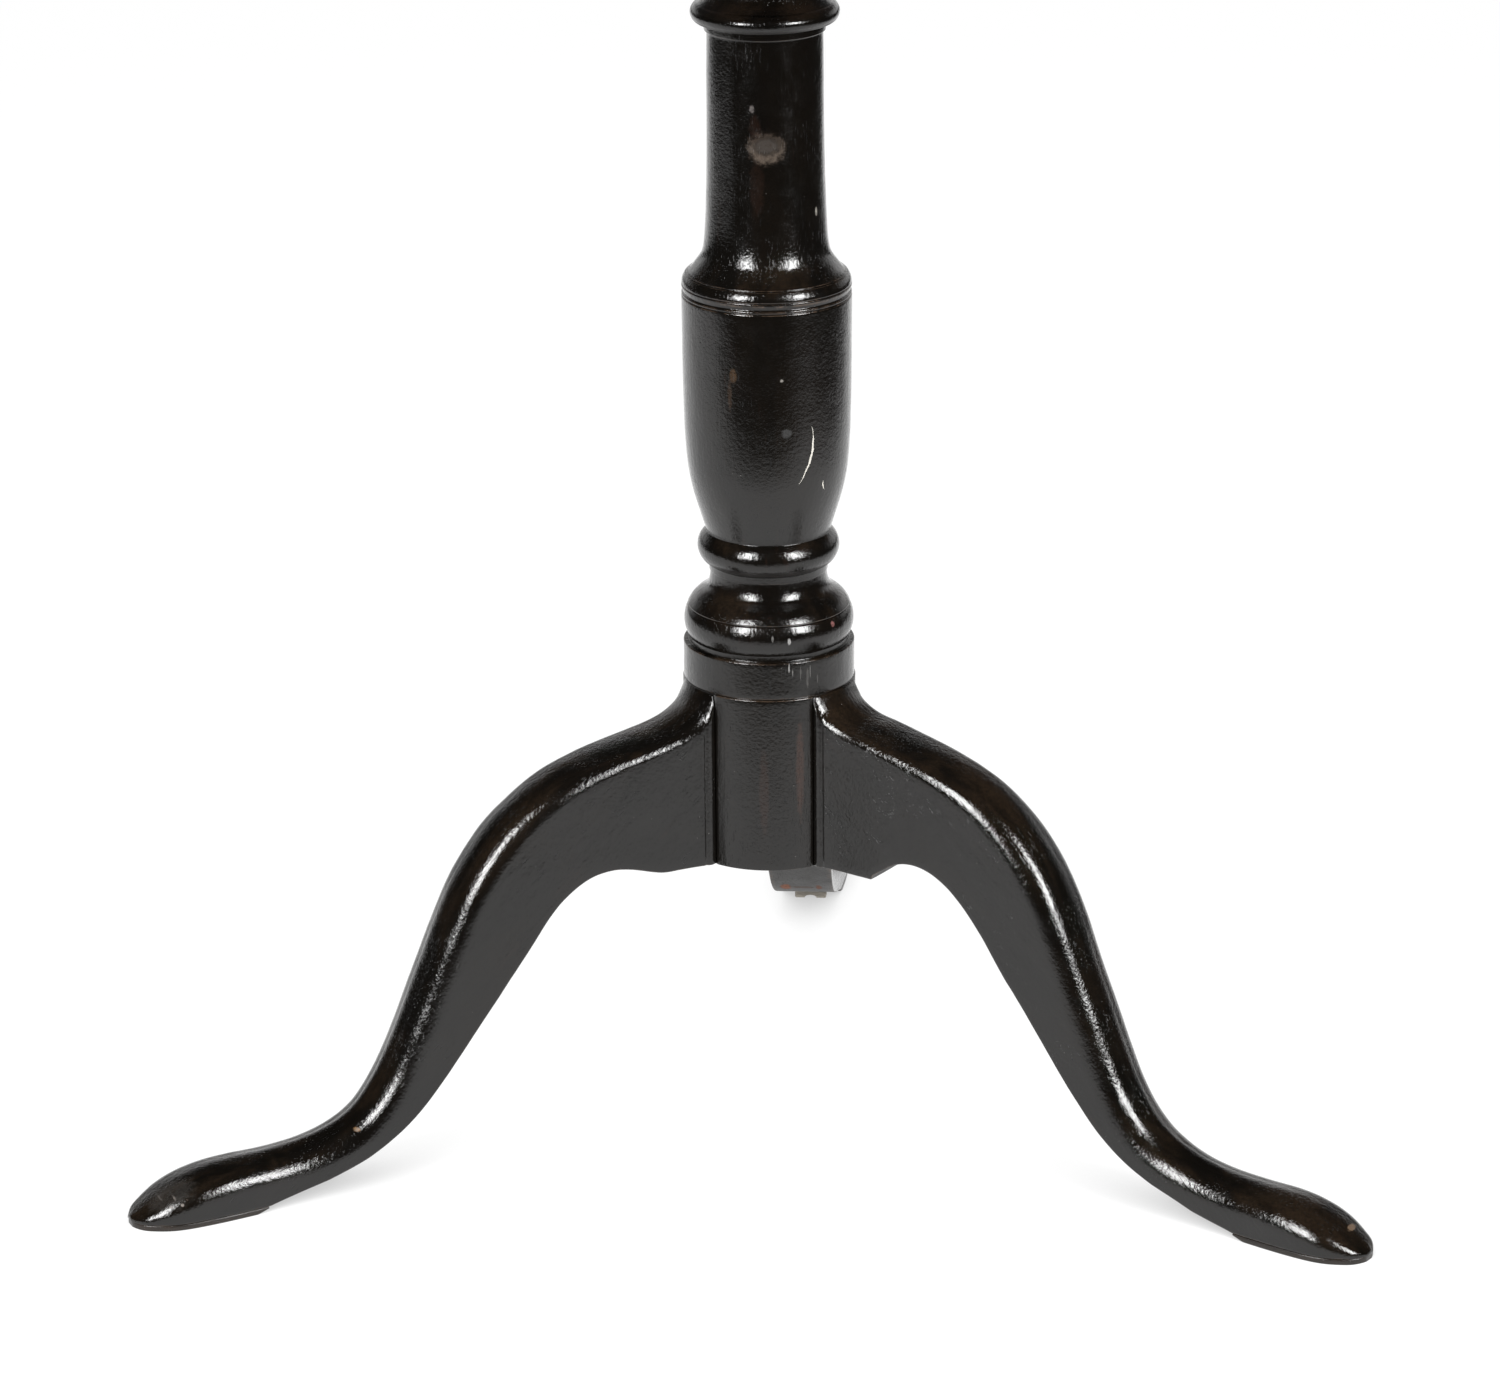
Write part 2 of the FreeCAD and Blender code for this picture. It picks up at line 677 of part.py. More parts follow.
def catch_screw_set(gap):
    """Four screws through the staples' feet and the plate into the top. A positive gap gives their holes."""
    screws = []
    x = bolt_width / 2 + bolt_running_gap + staple_thickness + catch_screw_head + 0.6
    seat = block_top - catch_plate_thickness - staple_thickness
    for side in (-1, 1):
        for y in staple_centres():
            if gap:
                base = V(side * x, y, seat - 1)
                screws.append(peg(catch_screw_shank + gap, base, V(0, 0, 1), catch_screw_length + 1 + gap))
            else:
                tip = V(side * x, y, seat + catch_screw_length)
                screws.append(screw(tip, (0, 0, 1), catch_screw_length, catch_screw_shank,
                                    catch_screw_head, catch_screw_head_height))
    return screws


def catch_plate():
    low_y = first_staple - catch_plate_margin
    high_y = second_staple + staple_length + catch_plate_margin
    plate = box((-catch_plate_width / 2, catch_plate_width / 2), (low_y, high_y),
                (block_top - catch_plate_thickness, block_top))
    corners = [edge for edge in plate.Edges if abs(edge.tangentAt(edge.FirstParameter).z) > 0.9]
    plate = plate.makeFillet(3.0, corners)
    return plate.cut(group(catch_screw_set(fit_gap)))


def catch_staples():
    """Two straps that guide the bolt, each with a foot on either side."""
    inner = bolt_width / 2 + bolt_running_gap
    outer = inner + staple_thickness
    foot = outer + 2 * catch_screw_head + 1.2
    high = block_top - catch_plate_thickness
    seat = high - staple_thickness
    roof = bolt_lower - bolt_running_gap
    points = [(inner, high), (foot, high), (foot, seat), (outer, seat), (outer, roof - staple_thickness),
              (-outer, roof - staple_thickness), (-outer, seat), (-foot, seat), (-foot, high),
              (-inner, high), (-inner, roof), (inner, roof)]
    straps = []
    for low_y in (first_staple, second_staple):
        face = Part.Face(outline(points[0], points[1:], lambda x, z: V(x, low_y, z)))
        strap = face.extrude(V(0, staple_length, 0))
        straps.append(strap.cut(group(catch_screw_set(fit_gap))))
    return group(straps)


def spring_middle():
    return bolt_nose + spring_start + spring_length / 2


def catch_bolt():
    """Flat sliding bolt, drawn back, with a bevelled nose and a shallow bed for its spring."""
    bar = box((-bolt_width / 2, bolt_width / 2), (bolt_nose, bolt_tail), (bolt_lower, bolt_upper))
    nose = [edge for edge in bar.Edges
            if abs(edge.CenterOfMass.y - bolt_nose) < 0.01 and abs(edge.CenterOfMass.z - bolt_lower) < 0.01]
    bar = bar.makeChamfer(bolt_nose_bevel, nose)
    middle = spring_middle()
    bed = box((-spring_width / 2 - 0.2, spring_width / 2 + 0.2),
              (middle - spring_length / 2 - 0.6, middle + spring_length / 2 + 0.6),
              (bolt_upper - spring_recess, bolt_upper + 1))
    hole = peg(knob_spigot_radius + fit_gap, V(0, knob_y, bolt_lower - 1), V(0, 0, 1), bolt_thickness + 2)
    return bar.cut(group([bed, hole]))


def bolt_spring():
    """Bowed leaf in the bolt's bed that presses on the plate and keeps the bolt where it is put."""
    middle = spring_middle()
    half = spring_length / 2
    floor = bolt_upper - spring_recess
    crown = block_top - catch_plate_thickness - 0.1
    start = (middle - half, floor)
    steps = [
        ((middle, crown - spring_thickness), (middle + half, floor)),
        (middle + half, floor + spring_thickness),
        ((middle, crown), (middle - half, floor + spring_thickness)),
    ]
    face = Part.Face(outline(start, steps, lambda y, z: V(-spring_width / 2, y, z)))
    return face.extrude(V(spring_width, 0, 0))


def bolt_knob():
    """Small turned knob under the bolt. Its stem between the staples stops the bolt both ways."""
    stem_low = bolt_lower - knob_stem_length
    low = stem_low - knob_height
    steps = [
        ((knob_radius * 0.75, low + 0.14 * knob_height), (knob_radius, low + 0.45 * knob_height)),
        ((knob_radius * 0.86, low + 0.82 * knob_height), (knob_stem_radius, stem_low)),
        (knob_stem_radius, bolt_lower),
        (knob_spigot_radius, bolt_lower),
        (knob_spigot_radius, bolt_upper),
        (0.0, bolt_upper),
    ]
    knob = turned((0.0, low), steps)
    knob.translate(V(0, knob_y, 0))
    return knob


# ---------------------------------------------------------------- the whole table
def build():
    nodes = {"pillar": pillar(), "leg_bracket": leg_bracket()}
    blank = leg_blank()
    one_leg = leg(blank)
    one_pad = foot_pad(blank)
    nails = []
    screws = []
    for name, angle in leg_angles.items():
        nodes["leg_" + name] = about_axis(one_leg, angle)
        nodes["foot_pad_" + name] = about_axis(one_pad, angle)
        nails += [about_axis(nail, angle) for nail in pad_nail_set()]
        screws += [about_axis(one, angle) for one in bracket_screw_set(0.0)]
    nodes["pad_nails"] = group(nails)
    nodes["bracket_screws"] = group(screws)
    nodes["rear_packing_strip"] = about_axis(packing_strip(), leg_angles["rear"])
    nodes["pivot_block"] = pivot_block()
    nodes["tenon_wedge"] = tenon_wedge()
    nodes["strike_plate"] = strike_plate()
    nodes["strike_screws"] = group(strike_screws_at(0.0))
    for name, board in zip(("front", "middle", "rear"), top_boards()):
        nodes["top_board_" + name] = board
    nodes["board_dowels"] = group(board_dowel_set(0.0))
    nodes["batten_left"] = batten(-1)
    nodes["batten_right"] = batten(1)
    nodes["batten_screws"] = group(batten_screw_set(0.0))
    nodes["catch_plate"] = catch_plate()
    nodes["catch_staples"] = catch_staples()
    nodes["catch_screws"] = group(catch_screw_set(0.0))
    nodes["catch_bolt"] = catch_bolt()
    nodes["bolt_knob"] = bolt_knob()
    nodes["bolt_spring"] = bolt_spring()
    return nodes


os.makedirs("parts", exist_ok=True)
for node_name, node_shape in build().items():
    if not node_shape.isValid():
        raise ValueError(node_name + " is not a valid shape")
    node_shape.exportStep("parts/" + node_name + ".step")
    print(node_name, len(node_shape.Solids), round(node_shape.Volume))
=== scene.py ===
"""Looks of the tilt-top tripod table: ebonised pillar and legs, round boarded top and brass catch.

Lengths in the tables below are millimetres. They become metres where a mesh or a shader takes them.
"""
from math import acos, atan2, ceil, cos, degrees, hypot, pi, radians, sin, sqrt, tan

import bmesh
import bpy
import numpy as np
from mathutils import Euler, Matrix, Vector, noise


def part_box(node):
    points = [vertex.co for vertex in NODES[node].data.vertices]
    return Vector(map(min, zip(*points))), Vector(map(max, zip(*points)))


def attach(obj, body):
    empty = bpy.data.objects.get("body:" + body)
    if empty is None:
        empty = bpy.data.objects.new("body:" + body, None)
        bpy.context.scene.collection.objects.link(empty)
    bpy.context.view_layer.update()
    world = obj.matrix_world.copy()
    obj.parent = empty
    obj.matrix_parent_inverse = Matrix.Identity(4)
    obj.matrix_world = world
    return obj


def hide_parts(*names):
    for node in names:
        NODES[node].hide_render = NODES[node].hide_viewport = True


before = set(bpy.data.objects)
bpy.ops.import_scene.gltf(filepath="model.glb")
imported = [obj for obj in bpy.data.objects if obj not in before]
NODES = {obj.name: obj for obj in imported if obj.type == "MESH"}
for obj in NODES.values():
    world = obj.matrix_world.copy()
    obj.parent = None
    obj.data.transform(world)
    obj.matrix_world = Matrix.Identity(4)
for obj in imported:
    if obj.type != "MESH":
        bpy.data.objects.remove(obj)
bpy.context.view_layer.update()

MM = 0.001

# ---- places read from the frame

TABLE_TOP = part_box("top_board_middle")[1].z / MM
BOARD_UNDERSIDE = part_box("top_board_middle")[0].z / MM
TOP_RADIUS = -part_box("top_board_middle")[0].x / MM
FRONT_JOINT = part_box("top_board_front")[1].y / MM
REAR_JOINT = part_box("top_board_rear")[0].y / MM
PILLAR_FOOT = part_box("pillar")[0].z / MM
PILLAR_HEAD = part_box("pillar")[1].z / MM
DRUM_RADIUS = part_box("pillar")[1].x / MM
LEG_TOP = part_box("leg_rear")[1].z / MM
TOE_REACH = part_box("leg_rear")[1].y / MM
PAD_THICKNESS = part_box("foot_pad_rear")[1].z / MM
PAD_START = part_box("foot_pad_rear")[0].y / MM
SLIP = [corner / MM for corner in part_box("rear_packing_strip")]

LEGS = {"leg_left": 210.0, "leg_right": 330.0, "leg_rear": 90.0}  # degrees from +x
ROOT_HALF_WIDTH = 20.0
LEG_FLAT = sqrt(DRUM_RADIUS ** 2 - ROOT_HALF_WIDTH ** 2)  # how far out the flat that a leg meets lies

# ---- curves and mesh helpers


def circle_arc(start, via, end, step=0.8):
    """Points after start on the circle through three points, up to and including end."""
    (ax, ay), (bx, by), (cx, cy) = start, via, end
    twice_area = 2 * (ax * (by - cy) + bx * (cy - ay) + cx * (ay - by))
    a2, b2, c2 = ax * ax + ay * ay, bx * bx + by * by, cx * cx + cy * cy
    ox = (a2 * (by - cy) + b2 * (cy - ay) + c2 * (ay - by)) / twice_area
    oy = (a2 * (cx - bx) + b2 * (ax - cx) + c2 * (bx - ax)) / twice_area
    radius = hypot(ax - ox, ay - oy)
    first = atan2(ay - oy, ax - ox)
    sweep = (atan2(cy - oy, cx - ox) - first) % (2 * pi)
    middle = (atan2(by - oy, bx - ox) - first) % (2 * pi)
    if middle > sweep:
        sweep -= 2 * pi
    count = max(3, int(abs(sweep) * radius / step))
    angles = [first + sweep * i / count for i in range(1, count)]
    return [(ox + radius * cos(a), oy + radius * sin(a)) for a in angles] + [end]


def natural_spline(knots, values, at):
    """Natural cubic spline through values (one column per quantity) at the knots, read at new places."""
    knots, values = np.asarray(knots, float), np.asarray(values, float)
    at = np.asarray(at, float)
    n, h = len(knots), np.diff(knots)
    system, right = np.eye(n), np.zeros_like(values)
    for i in range(1, n - 1):
        system[i, i - 1:i + 2] = h[i - 1], 2 * (h[i - 1] + h[i]), h[i]
        right[i] = 6 * ((values[i + 1] - values[i]) / h[i] - (values[i] - values[i - 1]) / h[i - 1])
    bend = np.linalg.solve(system, right)
    k = np.clip(np.searchsorted(knots, at) - 1, 0, n - 2)
    left, rest, span = (at - knots[k])[:, None], (knots[k + 1] - at)[:, None], h[k][:, None]
    cubic = (bend[k] * rest ** 3 + bend[k + 1] * left ** 3) / (6 * span)
    line_a = (values[k] / span - bend[k] * span / 6) * rest
    line_b = (values[k + 1] / span - bend[k + 1] * span / 6) * left
    return cubic + line_a + line_b


def lengths_along(points):
    """Running length along a polyline."""
    steps = np.linalg.norm(np.diff(np.asarray(points, float), axis=0), axis=1)
    return np.concatenate([[0.0], np.cumsum(steps)])


def smooth_curve(points, step=0.8):
    """Points after the first on a spline through all of them."""
    knots = lengths_along(points)
    count = max(3, int(knots[-1] / step))
    at = np.linspace(0, knots[-1], count + 1)[1:]
    return [tuple(p) for p in natural_spline(knots, points, at)]


def soften_corners(outline, radius, least_turn=18.0):
    """Replaces each sharp corner of an outline with a small round."""
    made = [outline[0]]
    for before, here, after in zip(outline, outline[1:], outline[2:]):
        a, b, c = (Vector(p) for p in (before, here, after))
        arm_in, arm_out = a - b, c - b
        turn = 180 - degrees(arm_in.angle(arm_out, pi))
        if turn < least_turn:
            made.append(here)
            continue
        cut = min(radius, 0.4 * arm_in.length, 0.4 * arm_out.length)
        p, q = b + arm_in.normalized() * cut, b + arm_out.normalized() * cut
        for t in (0.0, 0.33, 0.67, 1.0):
            made.append(tuple(p * (1 - t) ** 2 + b * 2 * t * (1 - t) + q * t * t))
    return made + [outline[-1]]


def divide_long(outline, longest):
    """Adds points so that no span of an outline is longer than longest."""
    made = [outline[0]]
    for (ax, ay), (bx, by) in zip(outline, outline[1:]):
        parts = max(1, ceil(hypot(bx - ax, by - ay) / longest))
        made += [(ax + (bx - ax) * i / parts, ay + (by - ay) * i / parts) for i in range(1, parts + 1)]
    return made


def face_outwards(mesh):
    """Turns every face of a closed mesh outwards."""
    bm = bmesh.new()
    bm.from_mesh(mesh)
    bmesh.ops.recalc_face_normals(bm, faces=bm.faces[:])
    bm.to_mesh(mesh)
    bm.free()


def add_object(name, data):
    """A new object in the scene."""
    made = bpy.data.objects.new(name, data)
    bpy.context.scene.collection.objects.link(made)
    return made


def add_piece(name, mesh, body, replaced, smooth=True):
    """A piece that rides on its body in place of a CAD node."""
    mesh.polygons.foreach_set("use_smooth", [smooth] * len(mesh.polygons))
    piece = add_object(name, mesh)
    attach(piece, body)
    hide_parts(replaced)
    return piece


def new_piece(name, verts_mm, faces, body, replaced, smooth=True):
    """A closed piece from points in millimetres."""
    mesh = bpy.data.meshes.new(name)
    mesh.from_pydata([Vector(v) * MM for v in verts_mm], [], faces)
    mesh.validate()
    face_outwards(mesh)
    return add_piece(name, mesh, body, replaced, smooth)


def ease_arrises(piece, width, least_angle=30):
    """Small rounded bevels along sharp edges, as a modifier."""
    bevel = piece.modifiers.new("eased_arrises", "BEVEL")
    bevel.width = width * MM
    bevel.segments = 2
    bevel.limit_method = "ANGLE"
    bevel.angle_limit = radians(least_angle)
    bevel.harden_normals = True


def grain_coordinates(piece, placing):
    """Stores where each point lies in its board, with the grain along x, for the wood shaders."""
    points = np.zeros(len(piece.data.vertices) * 3, np.float32)
    piece.data.vertices.foreach_get("co", points)
    points = points.reshape(-1, 3).astype(float)
    turned = points @ np.array(placing.to_3x3()).T + np.array(placing.translation)
    attribute = piece.data.attributes.new("grain", "FLOAT_VECTOR", "POINT")
    attribute.data.foreach_set("vector", turned.astype(np.float32).ravel())


def store_wear(piece, shares):
    """Stores how much each point is rubbed, from 0 to 1, for the wood shaders."""
    attribute = piece.data.attributes.new("wear", "FLOAT", "POINT")
    attribute.data.foreach_set("value", shares)


def hand_worked(piece, waves, share_at):
    """Moves points along their normals by smooth noise, as tools leave a surface. Each wave is (depth,
    spacing) in millimetres, and share_at says how much of them a point gets."""
    normals = [v.normal.copy() for v in piece.data.vertices]
    for v, n in zip(piece.data.vertices, normals):
        shift = sum(depth * noise.noise(v.co / (spacing * MM)) for depth, spacing in waves)
        v.co += n * (shift * share_at(v.co) * MM)
    piece.data.update()


def loft(rings, closed_ends=True):
    """Points and faces of a closed skin through rings that all have the same number of points."""
    count = len(rings[0])
    verts = [p for ring in rings for p in ring]
    faces = []
    for i in range(len(rings) - 1):
        for j in range(count):
            k = (j + 1) % count
            faces.append((i * count + j, i * count + k, (i + 1) * count + k, (i + 1) * count + j))
    if closed_ends:
        faces.append(tuple(reversed(range(count))))
        faces.append(tuple((len(rings) - 1) * count + j for j in range(count)))
    return verts, faces


# ---- pillar

DRUM_TOP, COLLAR_TOP, QUIRK_TOP = 239.0, 259.0, 262.0
TORUS_TOP, OGEE_TOP, WAIST_TOP, BEAD_TOP = 277.5, 297.0, 300.5, 318.0
VASE_TOP, SHOULDER_TOP, SHAFT_TOP = 442.0, 455.6, 577.6
FILLET_TOP, NECK_TORUS_TOP, NECK_TOP, CAP_TOP = 582.0, 592.4, 629.4, 645.6
VASE_FOOT_RADIUS, VASE_RADIUS = 31.8, 43.1
SHAFT_FOOT_RADIUS, SHAFT_RADIUS = 38.2, 29.0
TENON_RADIUS = 18.0
# Shares of the way from foot radius to full radius, and of the height.
VASE_SWELL = [(0.23, 0.068), (0.50, 0.15), (0.75, 0.252), (0.893, 0.39), (0.965, 0.60), (0.991, 0.86),
              (1, 1)]
# Shares of the way from the radius at the top to that at the foot, and of the height.
SHAFT_FLARE = [(0.674, 0.033), (0.424, 0.062), (0.304, 0.094), (0.207, 0.164), (0.13, 0.30),
               (0.04, 0.69), (0, 1)]
PILLAR_ARRIS = 0.35
PILLAR_WAVES = ((0.22, 45.0), (0.05, 9.0))


def pillar_outline():
    """Half outline of the turning from the axis at its foot to the axis at its head, as (radius, height)."""
    line = [(0.0, PILLAR_FOOT), (DRUM_RADIUS, PILLAR_FOOT), (DRUM_RADIUS, DRUM_TOP), (43.5, 239.5)]
    line += [(44.0, 240.0), (44.0, 258.6), (43.6, COLLAR_TOP), (41.2, COLLAR_TOP), (41.2, QUIRK_TOP)]
    line += circle_arc(line[-1], (43.6, 269.75), (41.8, TORUS_TOP))
    line += [(41.1, 278.0), (41.7, 278.5)]
    ogee = [(39.8, 281.5), (36.05, 284.8), (32.0, 287.9), (30.5, 291.5), (29.9, OGEE_TOP)]
    line += smooth_curve([line[-1]] + ogee)
    line += [(30.5, OGEE_TOP), (30.5, WAIST_TOP)]
    line += circle_arc(line[-1], (36.4, 309.25), (VASE_FOOT_RADIUS, BEAD_TOP))
    swell, rise = VASE_RADIUS - VASE_FOOT_RADIUS, VASE_TOP - BEAD_TOP
    vase = [(VASE_FOOT_RADIUS + swell * s, BEAD_TOP + rise * t) for s, t in VASE_SWELL]
    line += smooth_curve([line[-1]] + vase, 1.5)
    line += [(42.5, 442.5), (43.0, 443.1), (43.0, 443.7), (42.2, 444.5)]
    line += [(43.0, 446.6), (43.1, 447.6), (42.6, 448.0), (43.0, 448.5)]
    line += smooth_curve([line[-1], (42.6, 450.8), (41.4, 453.0)])
    line += [(41.2, 453.3), (40.3, 453.4), (40.4, 454.1), (39.4, 454.4), (38.6, 455.3)]
    line += [(SHAFT_FOOT_RADIUS, SHOULDER_TOP)]
    flare, rise = SHAFT_FOOT_RADIUS - SHAFT_RADIUS, SHAFT_TOP - SHOULDER_TOP
    shaft = [(SHAFT_RADIUS + flare * s, SHOULDER_TOP + rise * t) for s, t in SHAFT_FLARE]
    line += smooth_curve([line[-1]] + shaft, 1.5)
    line += [(30.4, 578.0), (30.4, FILLET_TOP), (31.5, FILLET_TOP)]
    line += circle_arc(line[-1], (37.3, 587.2), (33.7, 591.8))
    line += [(33.1, NECK_TORUS_TOP)]
    line += smooth_curve([line[-1], (30.1, 595.4), (28.3, 599.4), (27.5, 607.9), (27.5, NECK_TOP)])
    line += [(29.1, NECK_TOP)]
    line += circle_arc(line[-1], (35.1, 635.2), (37.1, 641.2))
    line += [(37.5, 641.2), (37.5, CAP_TOP), (TENON_RADIUS, CAP_TOP), (TENON_RADIUS, PILLAR_HEAD)]
    return line + [(0.0, PILLAR_HEAD)]


def pillar_angles():
    """Angles round the pillar, in degrees, with one on each edge of the flats that the legs meet."""
    half_flat = degrees(acos(LEG_FLAT / DRUM_RADIUS))
    angles = []
    for centre in sorted(LEGS.values()):
        angles += list(np.linspace(centre - half_flat, centre + half_flat, 25))[:-1]
        angles += list(np.linspace(centre + half_flat, centre + 120 - half_flat, 41))[:-1]
    return angles


def pillar_radius(radius, height, angle):
    """Radius at an angle: the drum is flat where a leg meets it."""
    if height > DRUM_TOP + 0.1:
        return radius
    off = min(abs((angle - leg + 180) % 360 - 180) for leg in LEGS.values())
    return min(radius, LEG_FLAT / max(0.3, cos(radians(off))))


def arris_share(outline, i):
    """1 on a crisp outer edge of an outline, 0 on its smooth stretches."""
    a, b, c = (Vector(p) for p in outline[i - 1:i + 2])
    arm_in, arm_out = b - a, c - b
    turn = arm_in.x * arm_out.y - arm_in.y * arm_out.x
    return 1.0 if turn > 0 and degrees(arm_in.angle(arm_out, 0)) > 12 else 0.0


def make_pillar():
    """The turned pillar in one piece, slightly out of round, with softened arrises."""
    outline = divide_long(soften_corners(pillar_outline(), PILLAR_ARRIS), 3.0)
    angles = pillar_angles()
    rings = []
    for radius, height in outline[1:-1]:
        ring = []
        for angle in angles:
            a = radians(angle)
            r = pillar_radius(radius, height, angle)
            ring.append((r * cos(a), r * sin(a), height))
        rings.append(ring)
    verts, faces = loft(rings, closed_ends=False)
    count = len(angles)
    foot, head = len(verts), len(verts) + 1
    verts += [(0, 0, PILLAR_FOOT), (0, 0, PILLAR_HEAD)]
    last = (len(rings) - 1) * count
    for j in range(count):
        k = (j + 1) % count
        faces.append((foot, k, j))
        faces.append((head, last + j, last + k))
    piece = new_piece("pillar_turned", verts, faces, "stand", "pillar")

    def share_at(place):
        """The drum with its flats, the tenon and the ends stay true."""
        return 1.0 if DRUM_TOP + 0.8 <= place.z / MM <= CAP_TOP - 1 else 0.0

    shares = [arris_share(outline, i) for i in range(1, len(outline) - 1)]
    store_wear(piece, [share for share in shares for _ in angles] + [0, 0])
    hand_worked(piece, PILLAR_WAVES, share_at)
    grain_coordinates(piece, Euler((0, radians(90), 0)).to_matrix().to_4x4())
    return piece


# ---- legs

# Each station is (radius, height) above, (radius, height) below, half width and upper corner radius.
LEG_STATIONS = [
    ((37, 256), (37, 130), 20.2, 4.0), ((43, 243.5), (43, 130), 19.9, 4.5),
    ((48, 233), (48, 130), 19.3, 5.0), ((56, 225.5), (56, 130), 19.0, 5.5),
    ((72, 219.8), (70, 130), 19.0, 6.0), ((96, 214), (86, 130), 19.0, 7.0),
    ((120, 206.8), (100, 130), 19.0, 8.5), ((143, 194.8), (112, 129), 19.0, 10.5),
    ((160, 179.5), (122, 125), 19.0, 12.0), ((174, 160), (133, 117), 19.0, 12.5),
    ((190, 125.5), (153, 95), 18.8, 13.0), ((207.5, 86.5), (175, 65), 18.4, 13.5),
    ((222, 57.5), (196, 39), 18.1, 13.5), ((239.5, 38), (220, 16), 17.6, 13.0),
    ((260, 28.5), (249, 0), 17.0, 12.0), ((284, 24.8), (282, -8), 17.2, 11.5),
    ((308, 23.6), (308, -8), 18.8, 11.0), ((329, 20.8), (329, -8), 19.3, 10.5),
    ((343, 15.2), (343, -8), 17.4, 8.0), ((352, 10), (352, -8), 13.0, 5.0),
    ((357, 6.8), (357, -8), 8.2, 2.4), ((359.6, 5), (359.6, -8), 3.2, 1.0),
]
STATION_ROOT_HALF_WIDTH = 20.2
# Under each leg: where the flat beside the pillar ends, then the hollow. The left leg's was cut softer.
HOLLOW_OUTSIDE = [(131, 140.5), (145, 123.5), (162, 102), (180, 77.5), (198, 54), (214, 37.5), (233, 25),
                  (256, 15.2), (275, 8.2), (290, 3)]
SHARP_HOLLOW = [(75.5, 146.5), (84, 152), (93, 156.3), (102, 157.3), (111, 155.3), (120, 150.3)]
SOFT_HOLLOW = [(62, 146.5), (67, 146.4), (72, 147.0), (78, 148.9), (86, 151.8), (94, 153.9),
               (103, 154.6), (112, 152.8), (121, 148.3)]
LEG_HOLLOWS = {"leg_left": SOFT_HOLLOW, "leg_right": SHARP_HOLLOW, "leg_rear": SHARP_HOLLOW}
# Each leg was carved by eye: how much fuller it is than the stations, by radius, above and below.
FULLER_TOP = {
    "leg_left": [(46, -3.5), (62, -2.8), (104, -1.8), (146, -1.5), (165, 0), (189, 2.5), (217, 2.0),
                 (235, 0.9), (270, 1.3), (300, 1.6), (345, 0)],
    "leg_right": [(46, 0), (68, 2.6), (112, 3.4), (141, 4.4), (185, 5.8), (215, 4.5), (244, 2.8),
                  (288, 1.2), (345, 0)],
    "leg_rear": [(0, 0)],
}
FULLER_UNDER = {
    "leg_left": [(74, 0), (104, 2.4), (125, 3.1), (165, 4.0), (189, 3.3), (210, 3.4), (238, 4.2),
                 (259, 3.5), (275, 1.6), (289, 0)],
    "leg_right": [(67, 0), (76, -1.6), (90, -2.4), (112, -2.0), (141, -1.5), (156, 0), (200, 0),
                  (229, 2.0), (244, 2.8), (268, 2.6), (289, 0)],
    "leg_rear": [(0, 0)],
}
LEG_CROWN = 0.8
LEG_STEP = 1.5
LOWER_ARRIS = (30, 31, 32)  # the points of section() on the arris under the leg
LEG_WAVES = ((0.30, 26.0), (0.06, 7.0))
LEG_GRAIN_SLOPE = -42.0
COLLAR_RADIUS = 44.0
NECK_START, NECK_END = 47.0, 74.0
CHAMFER_DEPTH, CHAMFER_REACH = 1.3, 2.6
SCRIBE_DEPTH, SCRIBE_OUT, SCRIBE_HALF_WIDTH = 0.55, 5.6, 1.1
PAD_INSET, PAD_ROUND, PAD_TOP_ROUND = 0.15, 0.5, 0.35
PAD_LIFT, PAD_TAPER = 2.0, 6.0


def leg_underside(name):
    """The line under a leg from the pillar to the toe."""
    hollow = LEG_HOLLOWS[name]
    flat = [(x, PILLAR_FOOT) for x in np.arange(30.0, hollow[0][0], 3.0)]
    curve = [hollow[0]] + smooth_curve(hollow + HOLLOW_OUTSIDE, 1.5)
    moved = [curve[0]]
    for before, (x, z), after in zip(curve, curve[1:], curve[2:]):
        along = (Vector(after) - Vector(before)).normalized()
        out = np.interp(x, *zip(*FULLER_UNDER[name]))
        moved.append((x + along.y * out, z - along.x * out))
    return flat + moved + [curve[-1], (TOE_REACH + 5, PAD_THICKNESS)]


def where_crossed(start, end, line):
    """Share of the way from start to end at which a polyline is first crossed."""
    best = 1.0
    a, d = np.array(start), np.array(end) - np.array(start)
    for p, q in zip(line, line[1:]):
        p, e = np.array(p), np.array(q) - np.array(p)
        cross = d[0] * e[1] - d[1] * e[0]
        if abs(cross) < 1e-9:
            continue
        t = ((p[0] - a[0]) * e[1] - (p[1] - a[1]) * e[0]) / cross
        u = ((p[0] - a[0]) * d[1] - (p[1] - a[1]) * d[0]) / cross
        if 0 <= t < best and -1e-6 <= u <= 1 + 1e-6:
            best = t
    return best


def section(half, corner, depth, crown):
    """Half of a leg's section, from the middle of its top to the middle of its underside, as (side, down)."""
    corner = min(corner, half - 0.4, 0.8 * max(depth - crown, 0.1))
    flat = half - corner
    points = [(flat * i / 5, crown * (i / 5) ** 2) for i in range(6)]
    for i in range(1, 11):
        a = radians(9 * i)
        points.append((flat + corner * sin(a), crown + corner * (1 - cos(a))))
    arris = min(1.0, 0.2 * corner)
    straight = depth - arris - crown - corner
    points += [(half, crown + corner + straight * i / 14) for i in range(1, 15)]
    points += [(half - arris * (1 - cos(a)), depth - arris * (1 - sin(a)))
               for a in (radians(30), radians(60), radians(90))]
    points += [((half - arris) * (1 - i / 4), depth) for i in range(1, 5)]
    return points


